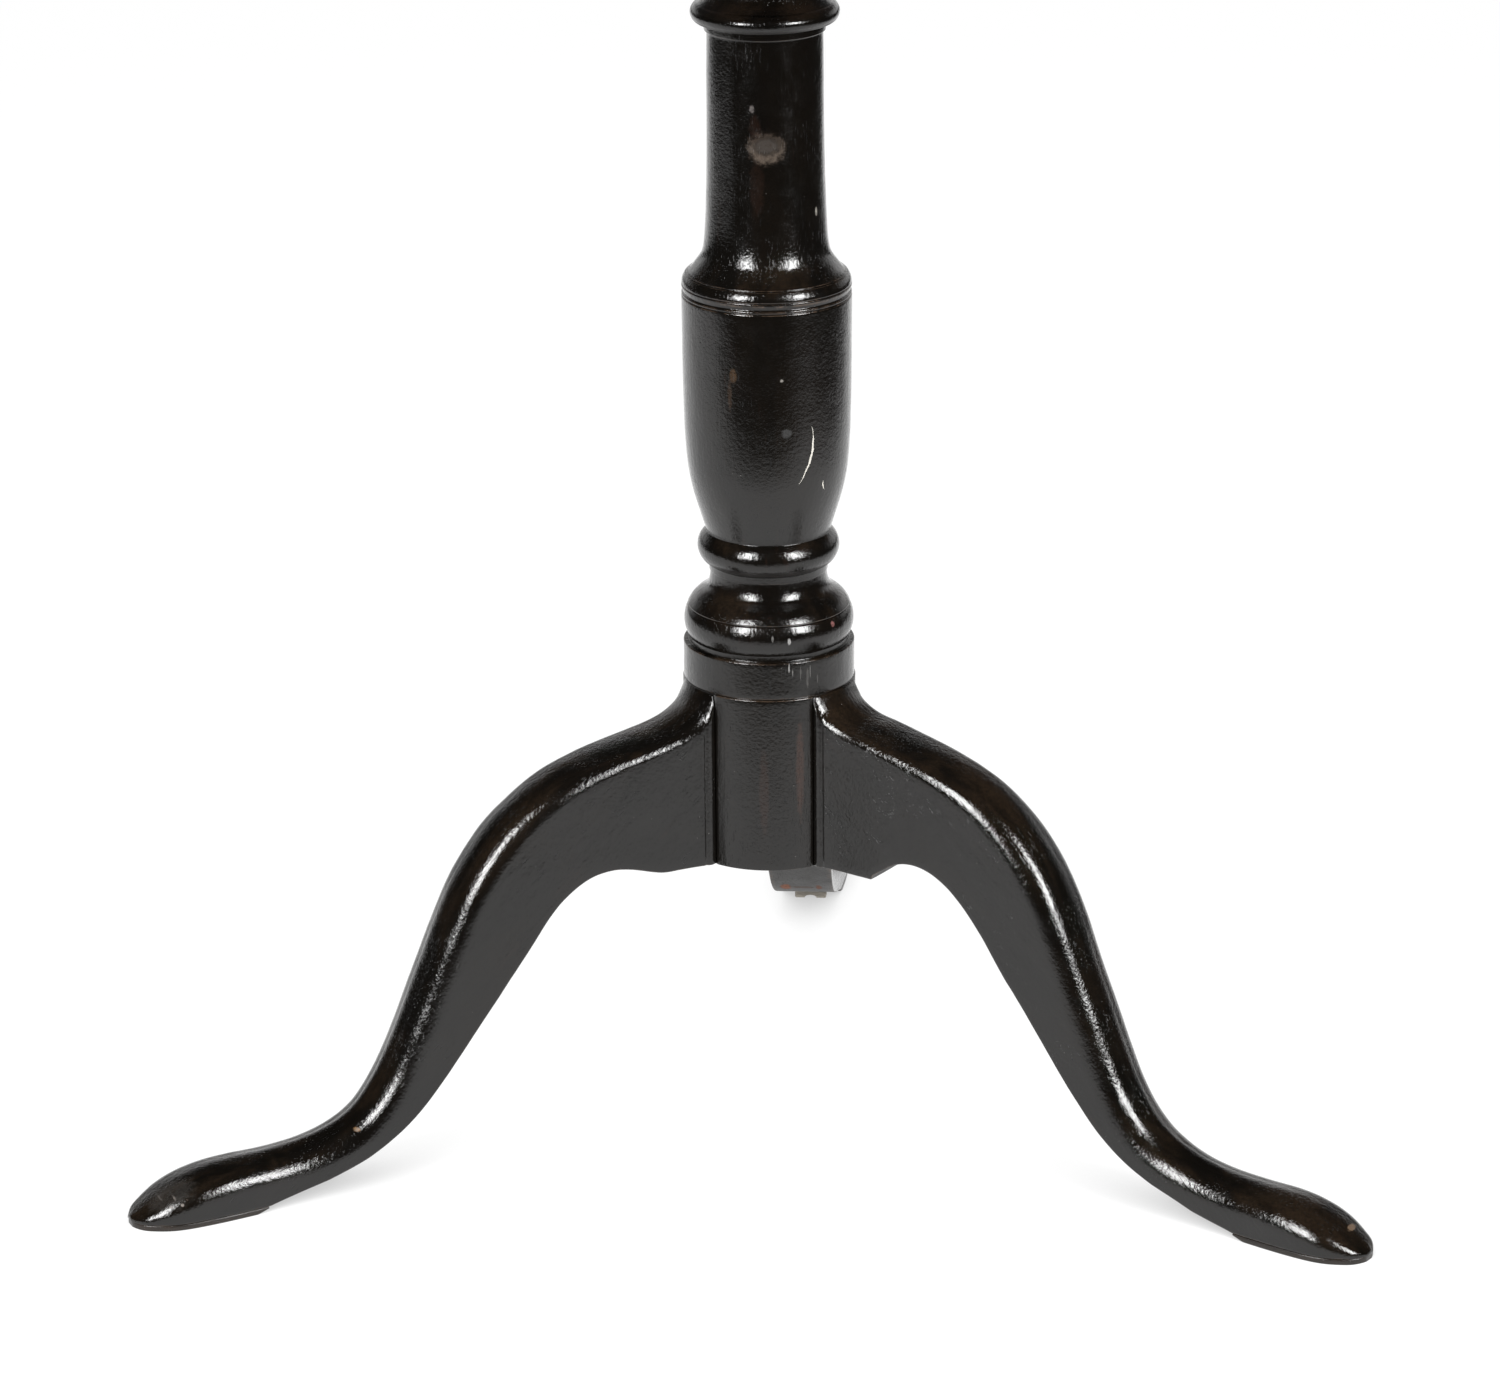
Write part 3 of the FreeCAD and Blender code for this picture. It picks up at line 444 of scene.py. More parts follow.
def neck_drop(out, side, upper):
    """How far a leg's top falls towards its sides beside the pillar, where it follows the collar."""
    share = 1 - min(1.0, max(0.0, (out - NECK_START) / (NECK_END - NECK_START)))
    shift = share * share * (COLLAR_RADIUS - sqrt(COLLAR_RADIUS ** 2 - side ** 2))
    heights = np.interp([out, out + shift], upper[:, 0], upper[:, 1])
    return float(heights[0] - heights[1])


def leg_rings(name):
    """Sections of a leg from the pillar's flat to the toe, in its own plane: x outwards, y sideways, z up."""
    upper = np.array([s[0] for s in LEG_STATIONS], float)
    lower = np.array([s[1] for s in LEG_STATIONS], float)
    sizes = np.array([s[2:] for s in LEG_STATIONS], float)
    knots = lengths_along(upper)
    start = np.interp(LEG_FLAT, upper[:, 0], knots)
    at = np.linspace(start, knots[-1], int((knots[-1] - start) / LEG_STEP))
    table = natural_spline(knots, np.hstack([upper, lower, sizes]), at)
    table[0, 0] = table[0, 2] = LEG_FLAT
    for row in table:
        outwards = Vector((row[0] - row[2], row[1] - row[3])).normalized()
        fuller = np.interp(row[0], *zip(*FULLER_TOP[name]))
        row[:2] += np.array(outwards) * fuller
    table[0, 0] = LEG_FLAT
    underside = leg_underside(name)
    rings = []
    for ru, zu, rl, zl, half, corner in table:
        share = where_crossed((ru, zu), (rl, zl), underside)
        end = np.array([ru + (rl - ru) * share, zu + (zl - zu) * share])
        depth = hypot(end[0] - ru, end[1] - zu)
        down = (end - np.array([ru, zu])) / depth
        root = ru - LEG_FLAT
        half *= ROOT_HALF_WIDTH / STATION_ROOT_HALF_WIDTH
        half -= CHAMFER_DEPTH * max(0.0, 1 - root / CHAMFER_REACH)
        half -= SCRIBE_DEPTH * max(0.0, 1 - abs(root - SCRIBE_OUT) / SCRIBE_HALF_WIDTH)
        side = section(half, corner, depth, LEG_CROWN)
        loop = side + [(-s, d) for s, d in reversed(side[1:-1])]
        ring = []
        for s, d in loop:
            keep = 1 - max(0.0, d - corner - LEG_CROWN) / (depth - corner - LEG_CROWN)
            level = zu + down[1] * d - keep * neck_drop(ru, s, table[:, :2])
            ring.append((ru + down[0] * d, s, min(level, LEG_TOP)))
        rings.append(ring)
    return rings


def make_leg(name, angle, rings):
    """One leg, with softened upper corners, a little uneven all over."""
    verts, faces = loft([[Vector(p) for p in ring] for ring in rings])
    turn = Matrix.Rotation(radians(angle), 3, "Z")
    piece = new_piece(name + "_carved", [turn @ v for v in verts], faces, "stand", name)
    along = Vector((cos(radians(angle)), sin(radians(angle)), 0))

    def share_at(place):
        """The root against the pillar and the face on the sole stay true."""
        from_root = min(1.0, max(0.0, (place.dot(along) / MM - LEG_FLAT - 0.5) / 4))
        from_sole = min(1.0, max(0.0, (place.z / MM - PAD_THICKNESS - 0.3) / 2))
        return from_root * from_sole

    hand_worked(piece, LEG_WAVES, share_at)
    count = len(rings[0])
    worn = [1.0 if min(j, count - j) in LOWER_ARRIS else 0.0 for j in range(count)]
    store_wear(piece, worn * len(rings))
    slope = radians(LEG_GRAIN_SLOPE)
    placing = Euler((0, slope, 0)).to_matrix() @ Matrix.Rotation(radians(-angle), 3, "Z")
    grain_coordinates(piece, Matrix.Translation((0, 0, angle * MM)) @ placing.to_4x4())
    return piece


def make_pad(name, angle, rings):
    """The thin sole under a foot, a hair inside the foot's outline."""
    plan = []
    for ring in rings:
        foot = [p for p in ring if p[2] < PAD_THICKNESS + 3.0]
        if foot and ring[0][0] > PAD_START:
            plan.append((ring[0][0], max(abs(p[1]) for p in foot)))
    plan = [(PAD_START, plan[0][1])] + plan
    made = []
    for i, (out, half) in enumerate(plan):
        out = min(out, TOE_REACH - 0.4) if i else out
        half = max(half - PAD_INSET, 0.6)
        low, high = max(0.0, PAD_LIFT * (1 - (out - PAD_START) / PAD_TAPER)), PAD_THICKNESS
        edge = min(PAD_ROUND, 0.3 * half)
        right = [(half - edge, low), (half - 0.3 * edge, low + 0.3 * edge), (half, low + edge),
                 (half, high - PAD_TOP_ROUND), (half - 0.25, high)]
        inner = [(half * k / 4, low) for k in range(4)]
        outer = [(right[-1][0] * (3 - k) / 4, high) for k in range(4)]
        ring = inner + right + outer
        ring = ring[:-1] + [(0.0, high)] + [(-s, z) for s, z in reversed(ring[1:-1])]
        made.append([Vector((out, s, z)) for s, z in ring])
    verts, faces = loft(made)
    turn = Matrix.Rotation(radians(angle), 3, "Z")
    piece = new_piece(name + "_sole", [turn @ v for v in verts], faces, "stand", name)
    grain_coordinates(piece, Matrix.Rotation(radians(-angle), 4, "Z"))
    return piece


SLIP_INSET = 8.2
SLIP_WEDGE = 1.4
SLIP_ARRIS = 0.4
SLIP_HOLLOW = (3.6, 1.3)


def make_slip():
    """The pale packing slip under the rear foot, with the hollow worn in its lower edge."""
    half, start, end, thick = SLIP[1].x, SLIP[0].y + SLIP_INSET, SLIP[1].y, SLIP[1].z
    wide, high = SLIP_HOLLOW
    hollow = [(wide * cos(a), high * sin(a)) for a in np.linspace(pi, 0, 9)]
    flat, side = half - SLIP_ARRIS, thick - SLIP_ARRIS
    under = [(-flat, 0.0)] + hollow + [(flat, 0.0), (half, 0.5)]
    over = [(half, side), (flat, thick), (-flat, thick), (-half, side), (-half, 0.5)]
    rings = []
    for out, shrink in ((start, 0.3), (start + 0.3, 0.0), (end - 0.3, 0.0), (end, 0.3)):
        rise = 1 + SLIP_WEDGE / thick * (end - out) / (end - start)
        rings.append([Vector((x * (1 - shrink / half), out, rise * z + shrink * (0.5 - z / thick)))
                      for x, z in under + over])
    verts, faces = loft(rings)
    return new_piece("rear_slip_worn", verts, faces, "stand", "rear_packing_strip", False)


# ---- top

TOP_BEVEL = (362.0, 690.6)
TOP_EDGE = (697.35, 702.35)
TOP_ROUND = ((376.5, 706.9), (368, 709.1))
TOP_SEGMENTS = 288
BOARD_ARRIS = 0.45


def top_outline():
    """Half outline of the round top, from the axis below to the axis above."""
    line = [(0.0, BOARD_UNDERSIDE), TOP_BEVEL] + [(TOP_RADIUS, level) for level in TOP_EDGE]
    line += circle_arc(line[-1], *TOP_ROUND, 1.0)
    return line + [(TOP_ROUND[1][0], TABLE_TOP), (0.0, TABLE_TOP)]


def make_board(name, low, high):
    """One board of the top: the moulded disc between two joint lines, with eased arrises."""
    outline = divide_long(soften_corners(top_outline(), 0.5), 24.0)
    bm = bmesh.new()
    rings = []
    for radius, height in outline[1:-1]:
        ring = []
        for j in range(TOP_SEGMENTS):
            a = 2 * pi * (j + 0.5) / TOP_SEGMENTS
            ring.append(bm.verts.new(Vector((radius * cos(a), radius * sin(a), height)) * MM))
        rings.append(ring)
    for lower, upper in zip(rings, rings[1:]):
        for j in range(TOP_SEGMENTS):
            k = (j + 1) % TOP_SEGMENTS
            bm.faces.new((lower[j], lower[k], upper[k], upper[j]))
    for ring, level, flip in ((rings[0], BOARD_UNDERSIDE, True), (rings[-1], TABLE_TOP, False)):
        centre = bm.verts.new((0, 0, level * MM))
        for j in range(TOP_SEGMENTS):
            k = (j + 1) % TOP_SEGMENTS
            bm.faces.new((centre, ring[k], ring[j]) if flip else (centre, ring[j], ring[k]))
    for cut, normal in ((low, -1), (high, 1)):
        if cut is None:
            continue
        found = bmesh.ops.bisect_plane(bm, geom=bm.verts[:] + bm.edges[:] + bm.faces[:], clear_outer=True,
                                       plane_co=(0, cut * MM, 0), plane_no=(0, normal, 0))
        edges = [e for e in found["geom_cut"] if isinstance(e, bmesh.types.BMEdge)]
        bmesh.ops.contextual_create(bm, geom=edges)
    bmesh.ops.recalc_face_normals(bm, faces=bm.faces[:])
    mesh = bpy.data.meshes.new(name + "_moulded")
    bm.to_mesh(mesh)
    bm.free()
    piece = add_piece(name + "_moulded", mesh, "top", name)
    ease_arrises(piece, BOARD_ARRIS, 50)
    grain_coordinates(piece, Matrix.Translation((0.11, 0.37 * (low or high) * MM, 0.2)))
    return piece


# ---- shaders


class Net:
    """The node tree of a new material or world, with short calls for the nodes that the finishes use."""

    def __init__(self, owner):
        self.owner = owner
        owner.use_nodes = True
        self.tree = owner.node_tree
        self.tree.nodes.clear()

    def add(self, kind, **settings):
        node = self.tree.nodes.new("ShaderNode" + kind)
        for key, value in settings.items():
            setattr(node, key, value)
        return node

    def link(self, source, target):
        self.tree.links.new(source, target)

    def put(self, socket, value):
        """Sets a socket to a number or colour, or links it."""
        if isinstance(value, bpy.types.NodeSocket):
            self.link(value, socket)
        else:
            socket.default_value = value

    def fill(self, node, **values):
        """Sets or links a node's inputs, whose names have _ for a space."""
        for name, value in values.items():
            self.put(node.inputs[name.replace("_", " ")], value)

    def object_place(self):
        return self.add("TexCoord").outputs["Object"]

    def attribute(self, name):
        return self.add("Attribute", attribute_name=name).outputs["Vector"]

    def mapped(self, vector, location=(0, 0, 0), turn=(0, 0, 0), scale=(1, 1, 1), kind="POINT"):
        node = self.add("Mapping", vector_type=kind)
        self.fill(node, Vector=vector, Location=location, Rotation=turn, Scale=scale)
        return node.outputs[0]

    def math(self, operation, a, b=0.0, clamp=False):
        node = self.add("Math", operation=operation, use_clamp=clamp)
        self.put(node.inputs[0], a)
        self.put(node.inputs[1], b)
        return node.outputs[0]

    def times(self, a, b, clamp=False):
        return self.math("MULTIPLY", a, b, clamp)

    def plus(self, a, b, clamp=False):
        return self.math("ADD", a, b, clamp)

    def length(self, vector):
        node = self.add("VectorMath", operation="LENGTH")
        self.link(vector, node.inputs[0])
        return node.outputs["Value"]

    def split(self, vector):
        node = self.add("SeparateXYZ")
        self.link(vector, node.inputs[0])
        return node.outputs

    def noise(self, vector, size_mm, detail=2.0, rough=0.5, bend=0.0):
        node = self.add("TexNoise")
        self.fill(node, Vector=vector, Scale=1 / (size_mm * MM), Detail=detail, Roughness=rough,
                  Distortion=bend)
        return node.outputs["Fac"]

    def grained(self, wood, share, *settings):
        """Noise drawn out along the grain, whose scale there is a share of the scale across."""
        return self.noise(self.mapped(wood, scale=(share, 1, 1)), *settings)

    def cells(self, vector, size_mm):
        node = self.add("TexVoronoi")
        self.fill(node, Vector=vector, Scale=1 / (size_mm * MM))
        return node.outputs["Distance"]

    def fade(self, value, low, high, start=0.0, end=1.0):
        """start where value is low, end where it is high, and a smooth step between."""
        node = self.add("MapRange", interpolation_type="SMOOTHSTEP")
        self.fill(node, Value=value, From_Min=low, From_Max=high, To_Min=start, To_Max=end)
        return node.outputs["Result"]

    def blend(self, share, a, b):
        node = self.add("Mix", data_type="RGBA")
        self.put(node.inputs[0], share)
        self.put(node.inputs[6], a)
        self.put(node.inputs[7], b)
        return node.outputs[2]

    def bump(self, height, depth_mm, under=None):
        node = self.add("Bump")
        self.fill(node, Strength=1.0, Distance=depth_mm * MM, Height=height)
        if under is not None:
            self.link(under, node.inputs["Normal"])
        return node.outputs["Normal"]

    def wear(self):
        return self.add("Attribute", attribute_name="wear").outputs["Fac"]

    def facing_up(self):
        """How far a surface faces up at rest, from its own normal."""
        return self.split(self.add("TexCoord").outputs["Normal"])["Z"]

    def choose(self, share, first, second):
        """One shader where share is 0 and another where it is 1."""
        node = self.add("MixShader")
        for socket, source in zip(node.inputs, (share, first, second)):
            self.link(source, socket)
        return node.outputs[0]

    def finish(self, colour, rough, normal, **constants):
        """Puts the finish on a Principled shader and returns the material."""
        shader = self.add("BsdfPrincipled")
        self.fill(shader, Base_Color=colour, Roughness=rough, Normal=normal, **constants)
        self.link(shader.outputs[0], self.add("OutputMaterial").inputs[0])
        return self.owner


def new_net(name):
    """The net of a new material."""
    return Net(bpy.data.materials.new(name))


def tint(red, green, blue):
    return (red, green, blue, 1.0)


BLACK_STAIN = tint(0.0020, 0.0016, 0.0012)
BROWN_UNDER = tint(0.0165, 0.0105, 0.0062)
RED_BROWN = tint(0.030, 0.013, 0.008)
BARE_BROWN = tint(0.075, 0.050, 0.034)
UNDER_BROWN = tint(0.008, 0.006, 0.0045)
PORE_BLACK = tint(0.0012, 0.001, 0.001)
DUST = tint(0.42, 0.40, 0.37)
SCRATCH_PALE = tint(0.42, 0.40, 0.36)
PORE_DARK = tint(0.015, 0.01, 0.007)
GRIME = tint(0.02, 0.015, 0.011)
# Two colours of each plain wood, pale and dark, and of each metal, clean and tarnished.
SOLE_COLOURS = tint(0.016, 0.011, 0.008), tint(0.005, 0.004, 0.003)
STAINED_COLOURS = tint(0.075, 0.034, 0.017), tint(0.022, 0.010, 0.006)
BARE_COLOURS = tint(0.30, 0.19, 0.10), tint(0.16, 0.09, 0.045)
SOFTWOOD_COLOURS = tint(0.32, 0.30, 0.26), tint(0.19, 0.165, 0.135)
IRON_COLOURS = tint(0.10, 0.095, 0.09), tint(0.035, 0.020, 0.014)
FASTENER_COLOURS = tint(0.20, 0.19, 0.18), tint(0.06, 0.035, 0.022)
BRASS_COLOURS = tint(0.52, 0.36, 0.13), tint(0.15, 0.085, 0.030)
BRASS_HEAD_COLOURS = tint(0.50, 0.35, 0.14), tint(0.12, 0.07, 0.03)
SPRING_COLOURS = tint(0.32, 0.32, 0.33), tint(0.11, 0.08, 0.06)
# Depths of the varnish's orange peel, of the pores, of the grain and of the lathe's rings.
PEEL_FINE, PEEL_BROAD, PORE_DEPTH, GRAIN_DEPTH, LATHE_DEPTH = 0.21, 0.24, 0.04, 0.08, 0.012


def spot_place(net, place, spot):
    """Coordinates from -1 to 1 across a spot, which is its centre, its half sizes (around, in depth, up)
    and the angle round the pillar, in degrees, of the surface it lies on."""
    centre, sizes, angle = spot
    turn = (0, 0, radians(angle + 90))
    return net.mapped(place, [c * MM for c in centre], turn, [half * MM for half in sizes], "TEXTURE")


def add_spots(net, place, colour, roughness, spots):
    """Lays uneven ovals over a finish. Each is (spot, colour, added roughness, cover)."""
    ragged = net.plus(net.times(net.noise(place, 3.0, 3.0, 0.65), 0.8), -0.40)
    grainy = net.fade(net.noise(place, 1.3, 4.0, 0.75), 0.30, 0.62, 0.30, 1.0)
    for spot, spot_colour, spot_rough, cover in spots:
        distance = net.plus(net.length(spot_place(net, place, spot)), ragged)
        mask = net.fade(distance, 0.5, 1.0, 1.0, 0.0)
        colour = net.blend(net.times(net.times(mask, grainy), cover), colour, spot_colour)
        roughness = net.plus(roughness, net.times(mask, spot_rough), clamp=True)
    return colour, roughness


def add_scratches(net, place, colour, roughness, scratches):
    """Lays thin bowed lines over a finish. Each is (spot, bow, half width), as shares of the half sizes."""
    for spot, bow, width in scratches:
        across, depth, along = net.split(spot_place(net, place, spot))
        curve = net.plus(net.times(net.times(along, along), bow), net.times(along, -bow))
        curve = net.plus(curve, net.times(net.noise(place, 4.0, 3.0), 0.25))
        off = net.math("ABSOLUTE", net.plus(across, curve))
        from_middle = net.math("ABSOLUTE", along)
        thin = net.fade(from_middle, 0.2, 1.0, width, width * 0.2)
        thin = net.times(thin, net.fade(net.noise(place, 1.5, 3.0, 0.7), 0.3, 0.55, 0.35, 1.2))
        line = net.times(net.math("LESS_THAN", off, thin), net.math("LESS_THAN", from_middle, 1.0))
        line = net.times(line, net.math("LESS_THAN", net.math("ABSOLUTE", depth), 1.0))
        colour = net.blend(net.times(line, 0.9), colour, SCRATCH_PALE)
        roughness = net.plus(roughness, net.times(line, 0.4), clamp=True)
    return colour, roughness


def ebony(name, brown=0.5, spots=(), scratches=(), rough=0.115, peel=1.0, lathe=False):
    """Black-stained wood under old varnish: a brown ground where the stain has worn, open pores along
    the grain, orange-peel varnish, dust specks, and the marks in spots and scratches."""
    net = new_net(name)
    place = net.object_place()
    wood = net.attribute("grain")
    streaks = net.grained(wood, 0.06, 2.2, 4.0, 0.6)
    pores = net.grained(wood, 0.12, 0.75, 2.0, 0.55)
    clouds = net.grained(wood, 0.3, 26.0, 4.0, 0.62, 0.4)
    speckle = net.noise(place, 1.6, 4.0, 0.7)
    up = net.facing_up()
    worn = net.times(net.fade(up, 0.0, 0.9, 0.10, 1.0), net.fade(clouds, 0.40, 0.66), clamp=True)
    worn = net.times(worn, net.fade(speckle, 0.35, 0.6, 0.45, 1.0))
    colour = net.blend(net.times(worn, brown), BLACK_STAIN, BROWN_UNDER)
    red = net.times(net.fade(streaks, 0.58, 0.78), net.fade(net.noise(place, 60.0, 2.0), 0.48, 0.66))
    colour = net.blend(net.times(red, 0.30 * brown), colour, RED_BROWN)
    rubbed = net.times(net.fade(net.wear(), 0.35, 1.0), net.fade(net.noise(place, 6.0, 4.0, 0.7), 0.4, 0.6))
    colour = net.blend(net.times(rubbed, 0.5), colour, BARE_BROWN)
    under = net.fade(up, -0.75, -0.35, 1.0, 0.0)
    colour = net.blend(net.times(under, net.fade(streaks, 0.3, 0.7, 0.1, 0.8)), colour, UNDER_BROWN)
    open_pores = net.times(net.fade(pores, 0.60, 0.68), net.fade(net.noise(place, 26.0, 3.0), 0.42, 0.60))
    colour = net.blend(open_pores, colour, PORE_BLACK)
    specks = net.fade(net.cells(place, 4.5), 0.075, 0.04)
    dust = net.times(specks, net.fade(net.noise(place, 23.0, 1.0), 0.48, 0.62, 0.0, 0.16))
    dust = net.times(dust, net.fade(net.noise(place, 3.1, 1.0), 0.40, 0.66))
    colour = net.blend(dust, colour, DUST)
    roughness = net.fade(net.noise(place, 9.0, 4.0, 0.65), 0.3, 0.75, rough * 0.75, rough * 1.6)
    roughness = net.plus(roughness, dust, clamp=True)
    roughness = net.plus(roughness, net.times(under, 0.42), clamp=True)
    roughness = net.plus(roughness, net.times(open_pores, 0.15), clamp=True)
    if spots:
        colour, roughness = add_spots(net, place, colour, roughness, spots)
    colour, roughness = add_scratches(net, place, colour, roughness, scratches)
    skin = net.bump(net.noise(place, 1.7, 3.0, 0.6), PEEL_FINE * peel)
    skin = net.bump(net.grained(wood, 0.4, 8.0, 2.0, 0.5), PEEL_BROAD * peel, skin)
    skin = net.bump(net.math("SUBTRACT", 1.0, open_pores), PORE_DEPTH, skin)
    skin = net.bump(net.grained(wood, 0.04, 1.3, 3.0, 0.6), GRAIN_DEPTH, skin)
    if lathe:
        rings = net.noise(net.mapped(place, scale=(0.02, 0.02, 1)), 1.3, 3.0, 0.6)
        skin = net.bump(rings, LATHE_DEPTH, skin)
    return net.finish(colour, roughness, skin, IOR=1.5)


def plain_wood(name, pale, dark, rough, grain=None, turn=(0, 0, 0), soiled=0.4):
    """Wood with visible grain: growth lines along the board, pores, and grime in patches."""
    net = new_net(name)
    place = net.object_place()
    wood = net.attribute(grain) if grain else net.mapped(place, turn=turn)
    rings = net.grained(wood, 0.05, 6.0, 5.0, 0.6, 0.3)
    fibre = net.grained(wood, 0.04, 0.6, 3.0, 0.6)
    pores = net.fade(net.grained(wood, 0.08, 0.8, 2.0), 0.64, 0.72)
    grime = net.fade(net.noise(place, 22.0, 4.0, 0.65), 0.45, 0.75)
    colour = net.blend(net.fade(rings, 0.3, 0.7), pale, dark)
    colour = net.blend(net.times(net.fade(fibre, 0.35, 0.75), 0.35), colour, dark)
    colour = net.blend(net.times(pores, 0.6), colour, PORE_DARK)
    colour = net.blend(net.times(grime, soiled), colour, GRIME)
    roughness = net.fade(fibre, 0.3, 0.7, rough * 0.85, min(1.0, rough * 1.2))
    skin = net.bump(fibre, 0.05)
    skin = net.bump(net.math("SUBTRACT", 1.0, pores), 0.05, skin)
    skin = net.bump(net.noise(place, 14.0, 2.0), 0.15, skin)
    return net.finish(colour, roughness, skin, IOR=1.45)


def metal(name, clean, tarnish, rough, dull, patches=6.0, grain_mm=0.5, spotted=0.5):
    """Old metal, tarnished in patches, with fine file marks and pits."""
    net = new_net(name)
    place = net.object_place()
    cloud = net.noise(place, patches, 5.0, 0.65, 0.5)
    fine = net.noise(place, grain_mm, 3.0, 0.6)
    filed = net.noise(net.mapped(place, scale=(1, 0.04, 1)), grain_mm, 2.0)
    share = net.plus(net.fade(cloud, 0.38, 0.66), net.fade(fine, 0.5, 0.8, 0.0, 0.35), clamp=True)
    colour = net.blend(net.times(share, spotted), clean, tarnish)
    roughness = net.plus(net.fade(share, 0.0, 1.0, rough, dull), net.fade(filed, 0.4, 0.7, 0.0, 0.08))
    skin = net.bump(filed, 0.02)
    skin = net.bump(fine, 0.03, skin)
    skin = net.bump(net.noise(place, 3.0, 2.0), 0.05, skin)
    return net.finish(colour, roughness, skin, Metallic=1.0)


# Marks: centre, half sizes and angle; then colour, added roughness and cover.
PILLAR_SPOTS = [
    (((2.5, -29.4, 524.2), (13.0, 9, 10.5), 275), tint(0.016, 0.011, 0.008), 0.04, 0.60),
    (((2.5, -29.4, 523.6), (11.5, 9, 9.0), 275), tint(0.070, 0.054, 0.042), 0.06, 0.95),
    (((3.0, -29.4, 525.2), (9.0, 9, 6.8), 276), tint(0.006, 0.005, 0.004), 0.00, 1.00),
    (((3.0, -29.4, 525.2), (6.5, 9, 4.8), 276), tint(0.038, 0.032, 0.028), 0.04, 0.80),
    (((-2.0, -29.3, 504.0), (4.5, 9, 19.0), 266), RED_BROWN, 0.02, 0.15),
    (((-3.0, -29.3, 534.0), (3.5, 9, 9.0), 264), RED_BROWN, 0.02, 0.20),
    (((-4.4, -29.0, 543.7), (1.6, 5, 2.4), 261), tint(0.060, 0.050, 0.046), 0.20, 0.90),
    (((26.3, -15.0, 488.6), (1.2, 4, 2.8), 330), tint(0.210, 0.195, 0.170), 0.30, 1.00),
    (((-13.9, -40.6, 410.2), (2.4, 6, 4.6), 251), tint(0.036, 0.020, 0.010), 0.05, 0.80),
    (((-15.6, -39.8, 400.5), (1.5, 6, 10.0), 248), tint(0.022, 0.013, 0.008), 0.05, 0.70),
    (((12.9, -40.4, 380.5), (3.2, 6, 3.2), 288), tint(0.024, 0.024, 0.024), 0.20, 0.80),
    (((10.7, -41.5, 408.2), (1.0, 4, 1.0), 285), tint(0.150, 0.140, 0.125), 0.20, 0.90),
    (((34.5, -25.3, 275.1), (1.6, 4, 1.8), 324), tint(0.160, 0.070, 0.066), 0.10, 0.90),
    (((5.3, -43.1, 272.2), (0.7, 4, 2.0), 277), tint(0.150, 0.145, 0.140), 0.10, 0.50),
    (((13.6, -41.4, 270.4), (1.0, 4, 2.2), 288), tint(0.260, 0.255, 0.250), 0.10, 0.80),
    (((13.4, -41.6, 256.2), (0.6, 4, 3.0), 289), tint(0.220, 0.215, 0.210), 0.10, 0.80),
    (((15.2, -41.2, 253.8), (0.4, 4, 2.6), 290), tint(0.130, 0.125, 0.120), 0.10, 0.60),
    (((19.2, -39.6, 252.5), (0.5, 5, 4.5), 297), tint(0.060, 0.057, 0.054), 0.15, 0.60),
    (((22.6, -37.8, 250.0), (0.9, 5, 6.5), 300), tint(0.075, 0.072, 0.068), 0.20, 0.45),
    (((23.9, -37.0, 253.0), (0.3, 5, 4.0), 301), tint(0.140, 0.137, 0.132), 0.10, 0.60),
    (((27.4, -34.4, 248.5), (0.5, 5, 3.2), 308), tint(0.070, 0.067, 0.064), 0.20, 0.50),
    (((0.5, -44.5, 190.0), (3.2, 5, 28.0), 271), RED_BROWN, 0.02, 0.22),
    (((18.7, -40.3, 200.0), (2.8, 5, 32.0), 295), RED_BROWN, 0.02, 0.55),
]
PILLAR_SCRATCHES = [
    (((25.6, -33.3, 367.5), (7.5, 12, 15.0), 308), 0.42, 0.070),
    (((30.3, -26.5, 349.5), (4.0, 12, 2.6), 319), -0.2, 0.12),
]
LEG_SPOTS = {
    "leg_left": [
        (((-201.7, -132.5, 34.3), (2.6, 4, 1.5), 300), tint(0.120, 0.066, 0.026), 0.25, 1.00),
        (((-291.0, -177.0, 16.0), (19.0, 12, 11.0), 300), tint(0.036, 0.033, 0.030), 0.16, 0.42),
        (((-283.0, -184.0, 13.5), (1.1, 9, 0.9), 300), tint(0.150, 0.130, 0.115), 0.15, 0.80),
        (((-286.5, -183.0, 16.0), (0.7, 9, 1.2), 300), tint(0.120, 0.105, 0.095), 0.15, 0.80),
        (((-290.0, -182.0, 12.5), (1.5, 9, 0.7), 300), tint(0.130, 0.115, 0.105), 0.15, 0.80),
        (((-294.5, -180.0, 14.5), (0.9, 9, 1.0), 300), tint(0.110, 0.100, 0.092), 0.15, 0.80),
        (((-299.0, -178.0, 9.0), (1.8, 9, 1.0), 290), tint(0.140, 0.125, 0.115), 0.15, 0.70),
        (((-278.5, -186.0, 15.5), (0.8, 9, 0.8), 300), tint(0.100, 0.075, 0.060), 0.15, 0.80),
    ],
    "leg_right": [
        (((302.4, -170.3, 13.2), (2.3, 5, 1.9), 250), tint(0.105, 0.068, 0.042), 0.25, 1.00),
        (((109.0, -68.5, 203.5), (8.0, 6, 1.1), 300), tint(0.240, 0.225, 0.200), 0.20, 0.70),
    ],
    "leg_rear": [
        (((-9.5, 222.0, 31.0), (3.8, 14, 5.0), 270), tint(0.170, 0.052, 0.018), 0.30, 1.00),
        (((9.3, 222.0, 31.0), (2.4, 14, 4.0), 270), tint(0.120, 0.036, 0.014), 0.30, 0.90),
        (((0.0, 223.0, 31.0), (9.0, 14, 1.8), 270), tint(0.045, 0.020, 0.010), 0.20, 0.80),
    ],
}


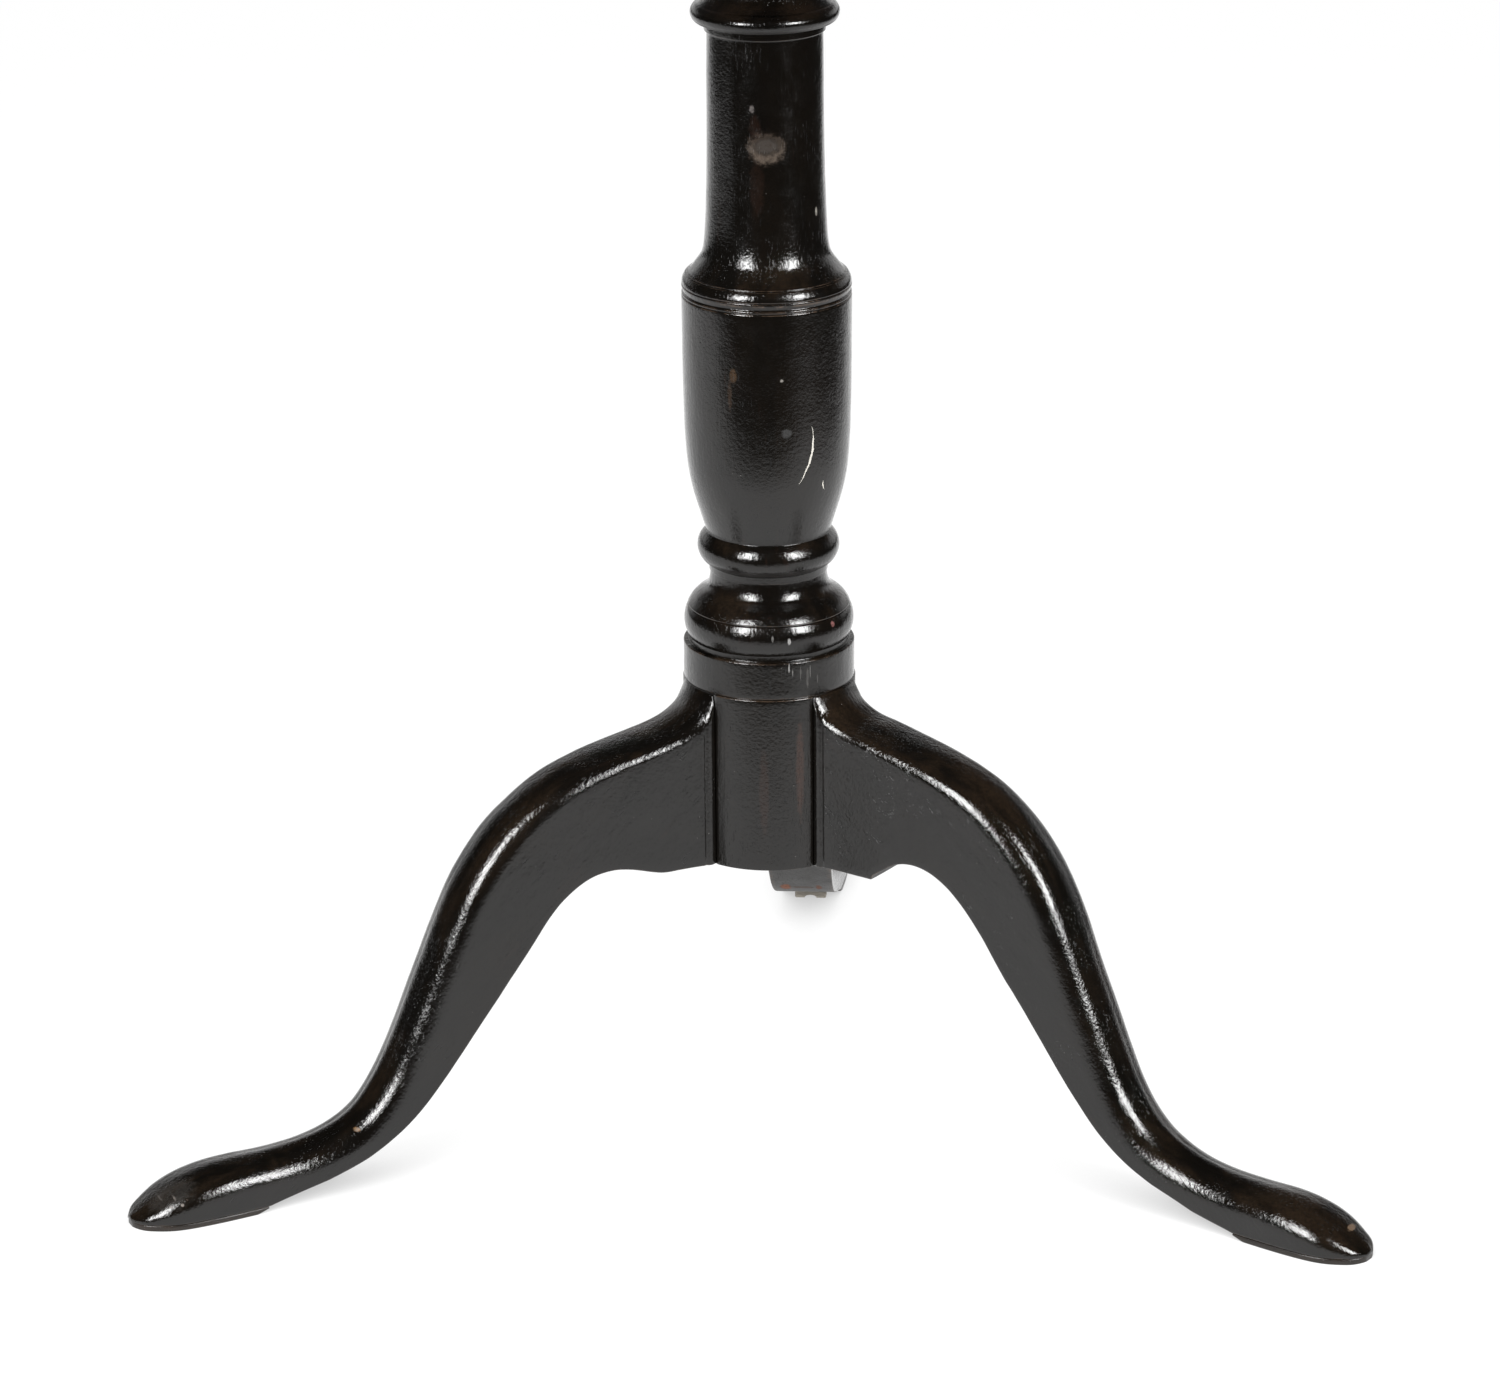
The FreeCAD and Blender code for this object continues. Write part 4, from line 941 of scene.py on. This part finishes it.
def dress(name, material, arris=0.0):
    """Gives a CAD node that stays as it is its finish, and eased arrises where they show."""
    node = NODES[name]
    node.data.materials.clear()
    node.data.materials.append(material)
    if arris:
        merged = node.modifiers.new("one_face_per_plane", "DECIMATE")
        merged.decimate_type = "DISSOLVE"
        merged.angle_limit = radians(1.0)
        ease_arrises(node, arris)


def finish_piece(piece, material):
    piece.data.materials.append(material)


# ---- building

finish_piece(make_pillar(), ebony("ebony_turned", 0.7, PILLAR_SPOTS, PILLAR_SCRATCHES, peel=0.75, lathe=True))
sole = plain_wood("sole_wood", *SOLE_COLOURS, 0.3, grain="grain")
for leg, leg_angle in LEGS.items():
    leg_sections = leg_rings(leg)
    finish_piece(make_leg(leg, leg_angle, leg_sections), ebony("ebony_" + leg, 0.7, LEG_SPOTS[leg]))
    finish_piece(make_pad(leg.replace("leg", "foot_pad"), leg_angle, leg_sections), sole)
for board, low, high, brown in (("top_board_front", None, FRONT_JOINT, 0.9),
                                ("top_board_middle", FRONT_JOINT, REAR_JOINT, 0.5),
                                ("top_board_rear", REAR_JOINT, None, 0.75)):
    finish_piece(make_board(board, low, high), ebony("ebony_" + board, brown, rough=0.2))

quarter = radians(90)
stained = plain_wood("stained_wood", *STAINED_COLOURS, 0.38, soiled=0.6)
upright = plain_wood("stained_wood_side", *STAINED_COLOURS, 0.38, turn=(0, 0, quarter), soiled=0.6)
bare = plain_wood("bare_wood", *BARE_COLOURS, 0.6, turn=(0, quarter, 0))
softwood = plain_wood("pale_softwood", *SOFTWOOD_COLOURS, 0.7, soiled=0.35)
iron = metal("wrought_iron", *IRON_COLOURS, 0.45, 0.75, spotted=0.8)
fasteners = metal("iron_fasteners", *FASTENER_COLOURS, 0.38, 0.7, 2.5, 0.3, 0.8)
brass = metal("aged_brass", *BRASS_COLOURS, 0.24, 0.5, 9.0, 0.4, 0.75)
brass_heads = metal("brass_screws", *BRASS_HEAD_COLOURS, 0.28, 0.55, 2.5, 0.3, 0.8)
spring = metal("spring_steel", *SPRING_COLOURS, 0.28, 0.55, 4.0, 0.3, 0.6)

dress("pivot_block", stained, arris=0.6)
for node_name in ("batten_left", "batten_right"):
    dress(node_name, upright, arris=0.8)
dress("tenon_wedge", bare)
dress("board_dowels", bare, arris=0.3)
finish_piece(make_slip(), softwood)
dress("leg_bracket", iron, arris=0.3)
for node_name in ("pad_nails", "bracket_screws", "batten_screws"):
    dress(node_name, fasteners, arris=0.12)
for node_name in ("strike_plate", "catch_plate", "catch_staples", "catch_bolt"):
    dress(node_name, brass, arris=0.25)
dress("bolt_knob", brass, arris=0.15)
for node_name in ("strike_screws", "catch_screws"):
    dress(node_name, brass_heads, arris=0.1)
dress("bolt_spring", spring, arris=0.08)

# ---- stage, light and camera

# The floor's limits as the varnish mirrors it are in metres, the wall's top is in degrees.
FLOOR_SIZE = 14.0
FLOOR_FRONT = (-1.00, -0.45)
FLOOR_LEFT, FLOOR_RIGHT = (-2.4, -1.6), (0.75, 1.4)
FLOOR_SHADE = (0.50, 0.97)
FLOOR_MIRRORED = 1.30
ROOM_DARK = 0.03
SHADOW_REACH = 0.18
SHADOW_LEAN = (0.0, -0.55, 0.83)
WALL_TOP = (12.0, 26.0)
WALL_SIDES = (0.40, 0.85)
SOFTBOX_DISTANCE = 2.1
SOFTBOXES = {"softbox_left": (-31.0, 9.0, 42.0), "softbox_right": (50.0, 9.0, 42.0)}
SOFTBOX_WIDTH = 18.0
SOFTBOX_POWER = 100.0
SOFTBOX_AIM = Vector((0, 0, 0.30))
CAMERA_AZIMUTH, CAMERA_ELEVATION, CAMERA_ROLL = 4.85, 19.76, -0.48
CAMERA_DISTANCE = 2.846
CAMERA_TARGET_SIDE, CAMERA_TARGET_HEIGHT = -0.0101, 0.2254
CAMERA_LENS, CAMERA_SENSOR = 132.0, 36.0


def make_floor():
    """Pale floor: white to the camera but for soft contact shadows, and clear from below. The table's varnish
    mirrors it only as far as it reaches in front and at the sides."""
    half = FLOOR_SIZE
    mesh = bpy.data.meshes.new("floor")
    corners = [(-half, -half, 0), (half, -half, 0), (half, half, 0), (-half, half, 0)]
    mesh.from_pydata(corners, [], [(0, 1, 2, 3)])
    floor = add_object("floor", mesh)
    net = new_net("floor")
    x, y, _ = net.split(net.object_place())
    near = net.add("AmbientOcclusion", samples=16)
    lean = net.add("CombineXYZ")
    for socket, value in zip(lean.inputs, SHADOW_LEAN):
        socket.default_value = value
    net.fill(near, Distance=SHADOW_REACH, Normal=lean.outputs[0])
    shade = net.fade(near.outputs["AO"], 0.10, 0.92, *FLOOR_SHADE)
    lit = net.add("AddShader")
    paper = net.add("BsdfDiffuse")
    paper.inputs["Color"].default_value = tint(0.10, 0.10, 0.10)
    net.link(paper.outputs[0], lit.inputs[0])
    net.link(glowing(net, shade), lit.inputs[1])
    behind = net.add("NewGeometry").outputs["Backfacing"]
    seen = net.choose(behind, lit.outputs[0], net.add("BsdfTransparent").outputs[0])
    ends = net.times(net.fade(x, *FLOOR_LEFT, 0.0, 1.0), net.fade(x, *FLOOR_RIGHT, 1.0, 0.0))
    front = net.fade(y, *FLOOR_FRONT, ROOM_DARK, FLOOR_MIRRORED)
    bright = net.math("MAXIMUM", net.times(front, ends), ROOM_DARK)
    mirrored = glowing(net, net.times(bright, shade))
    glossy = net.add("LightPath").outputs["Is Glossy Ray"]
    net.link(net.choose(glossy, seen, mirrored), net.add("OutputMaterial").inputs[0])
    floor.data.materials.append(net.owner)


def glowing(net, strength):
    """A white emission."""
    glow = net.add("Emission")
    net.fill(glow, Color=tint(1, 1, 1), Strength=strength)
    return glow.outputs[0]


def make_world():
    """White to the camera. Reflections see a low white wall at the back and a dark room all round."""
    world = bpy.data.worlds.new("studio")
    bpy.context.scene.world = world
    net = Net(world)
    _, back, up = net.split(net.add("TexCoord").outputs["Generated"])
    low = net.fade(up, *(sin(radians(edge)) for edge in WALL_TOP), 1.0, 0.02)
    wall = net.fade(back, *WALL_SIDES, ROOM_DARK, 1.0)
    room, plain = net.add("Background"), net.add("Background")
    net.link(net.math("MAXIMUM", net.times(low, wall), 0.02), room.inputs["Strength"])
    for background in (room, plain):
        background.inputs["Color"].default_value = tint(1, 1, 1)
    seen = net.add("LightPath").outputs["Is Camera Ray"]
    net.link(net.choose(seen, room.outputs[0], plain.outputs[0]), net.add("OutputWorld").inputs[0])


def make_softbox(name, azimuth, low, high):
    """An upright strip light at an azimuth from the front, spanning two elevations as the table sees it."""
    tall_low = SOFTBOX_DISTANCE * tan(radians(low))
    tall_high = SOFTBOX_DISTANCE * tan(radians(high))
    light = bpy.data.lights.new(name, "AREA")
    light.shape = "RECTANGLE"
    light.size = 2 * SOFTBOX_DISTANCE * tan(radians(SOFTBOX_WIDTH / 2))
    light.size_y = tall_high - tall_low
    light.energy = SOFTBOX_POWER * light.size * light.size_y
    lamp = add_object(name, light)
    a = radians(azimuth)
    out = Vector((sin(a), -cos(a), 0))
    lamp.location = SOFTBOX_AIM + out * SOFTBOX_DISTANCE + Vector((0, 0, (tall_low + tall_high) / 2))
    lamp.rotation_euler = (-out).to_track_quat("-Z", "Y").to_euler()
    lamp.visible_camera = False


def make_camera():
    a, e = radians(CAMERA_AZIMUTH), radians(CAMERA_ELEVATION)
    back = Vector((sin(a) * cos(e), -cos(a) * cos(e), sin(e)))
    right = Vector((cos(a), sin(a), 0))
    target = right * CAMERA_TARGET_SIDE + Vector((0, 0, CAMERA_TARGET_HEIGHT))
    data = bpy.data.cameras.new("camera")
    data.lens = CAMERA_LENS
    data.sensor_width = CAMERA_SENSOR
    data.clip_end = 100
    camera = add_object("camera", data)
    up = back.cross(right)
    roll = radians(CAMERA_ROLL)
    x_axis = right * cos(roll) + up * sin(roll)
    y_axis = up * cos(roll) - right * sin(roll)
    axes = Matrix((x_axis, y_axis, back)).transposed().to_4x4()
    camera.matrix_world = Matrix.Translation(target + back * CAMERA_DISTANCE) @ axes
    bpy.context.scene.camera = camera


make_floor()
make_world()
for softbox, (box_azimuth, box_low, box_high) in SOFTBOXES.items():
    make_softbox(softbox, box_azimuth, box_low, box_high)
make_camera()
bpy.context.scene.view_settings.view_transform = "Standard"
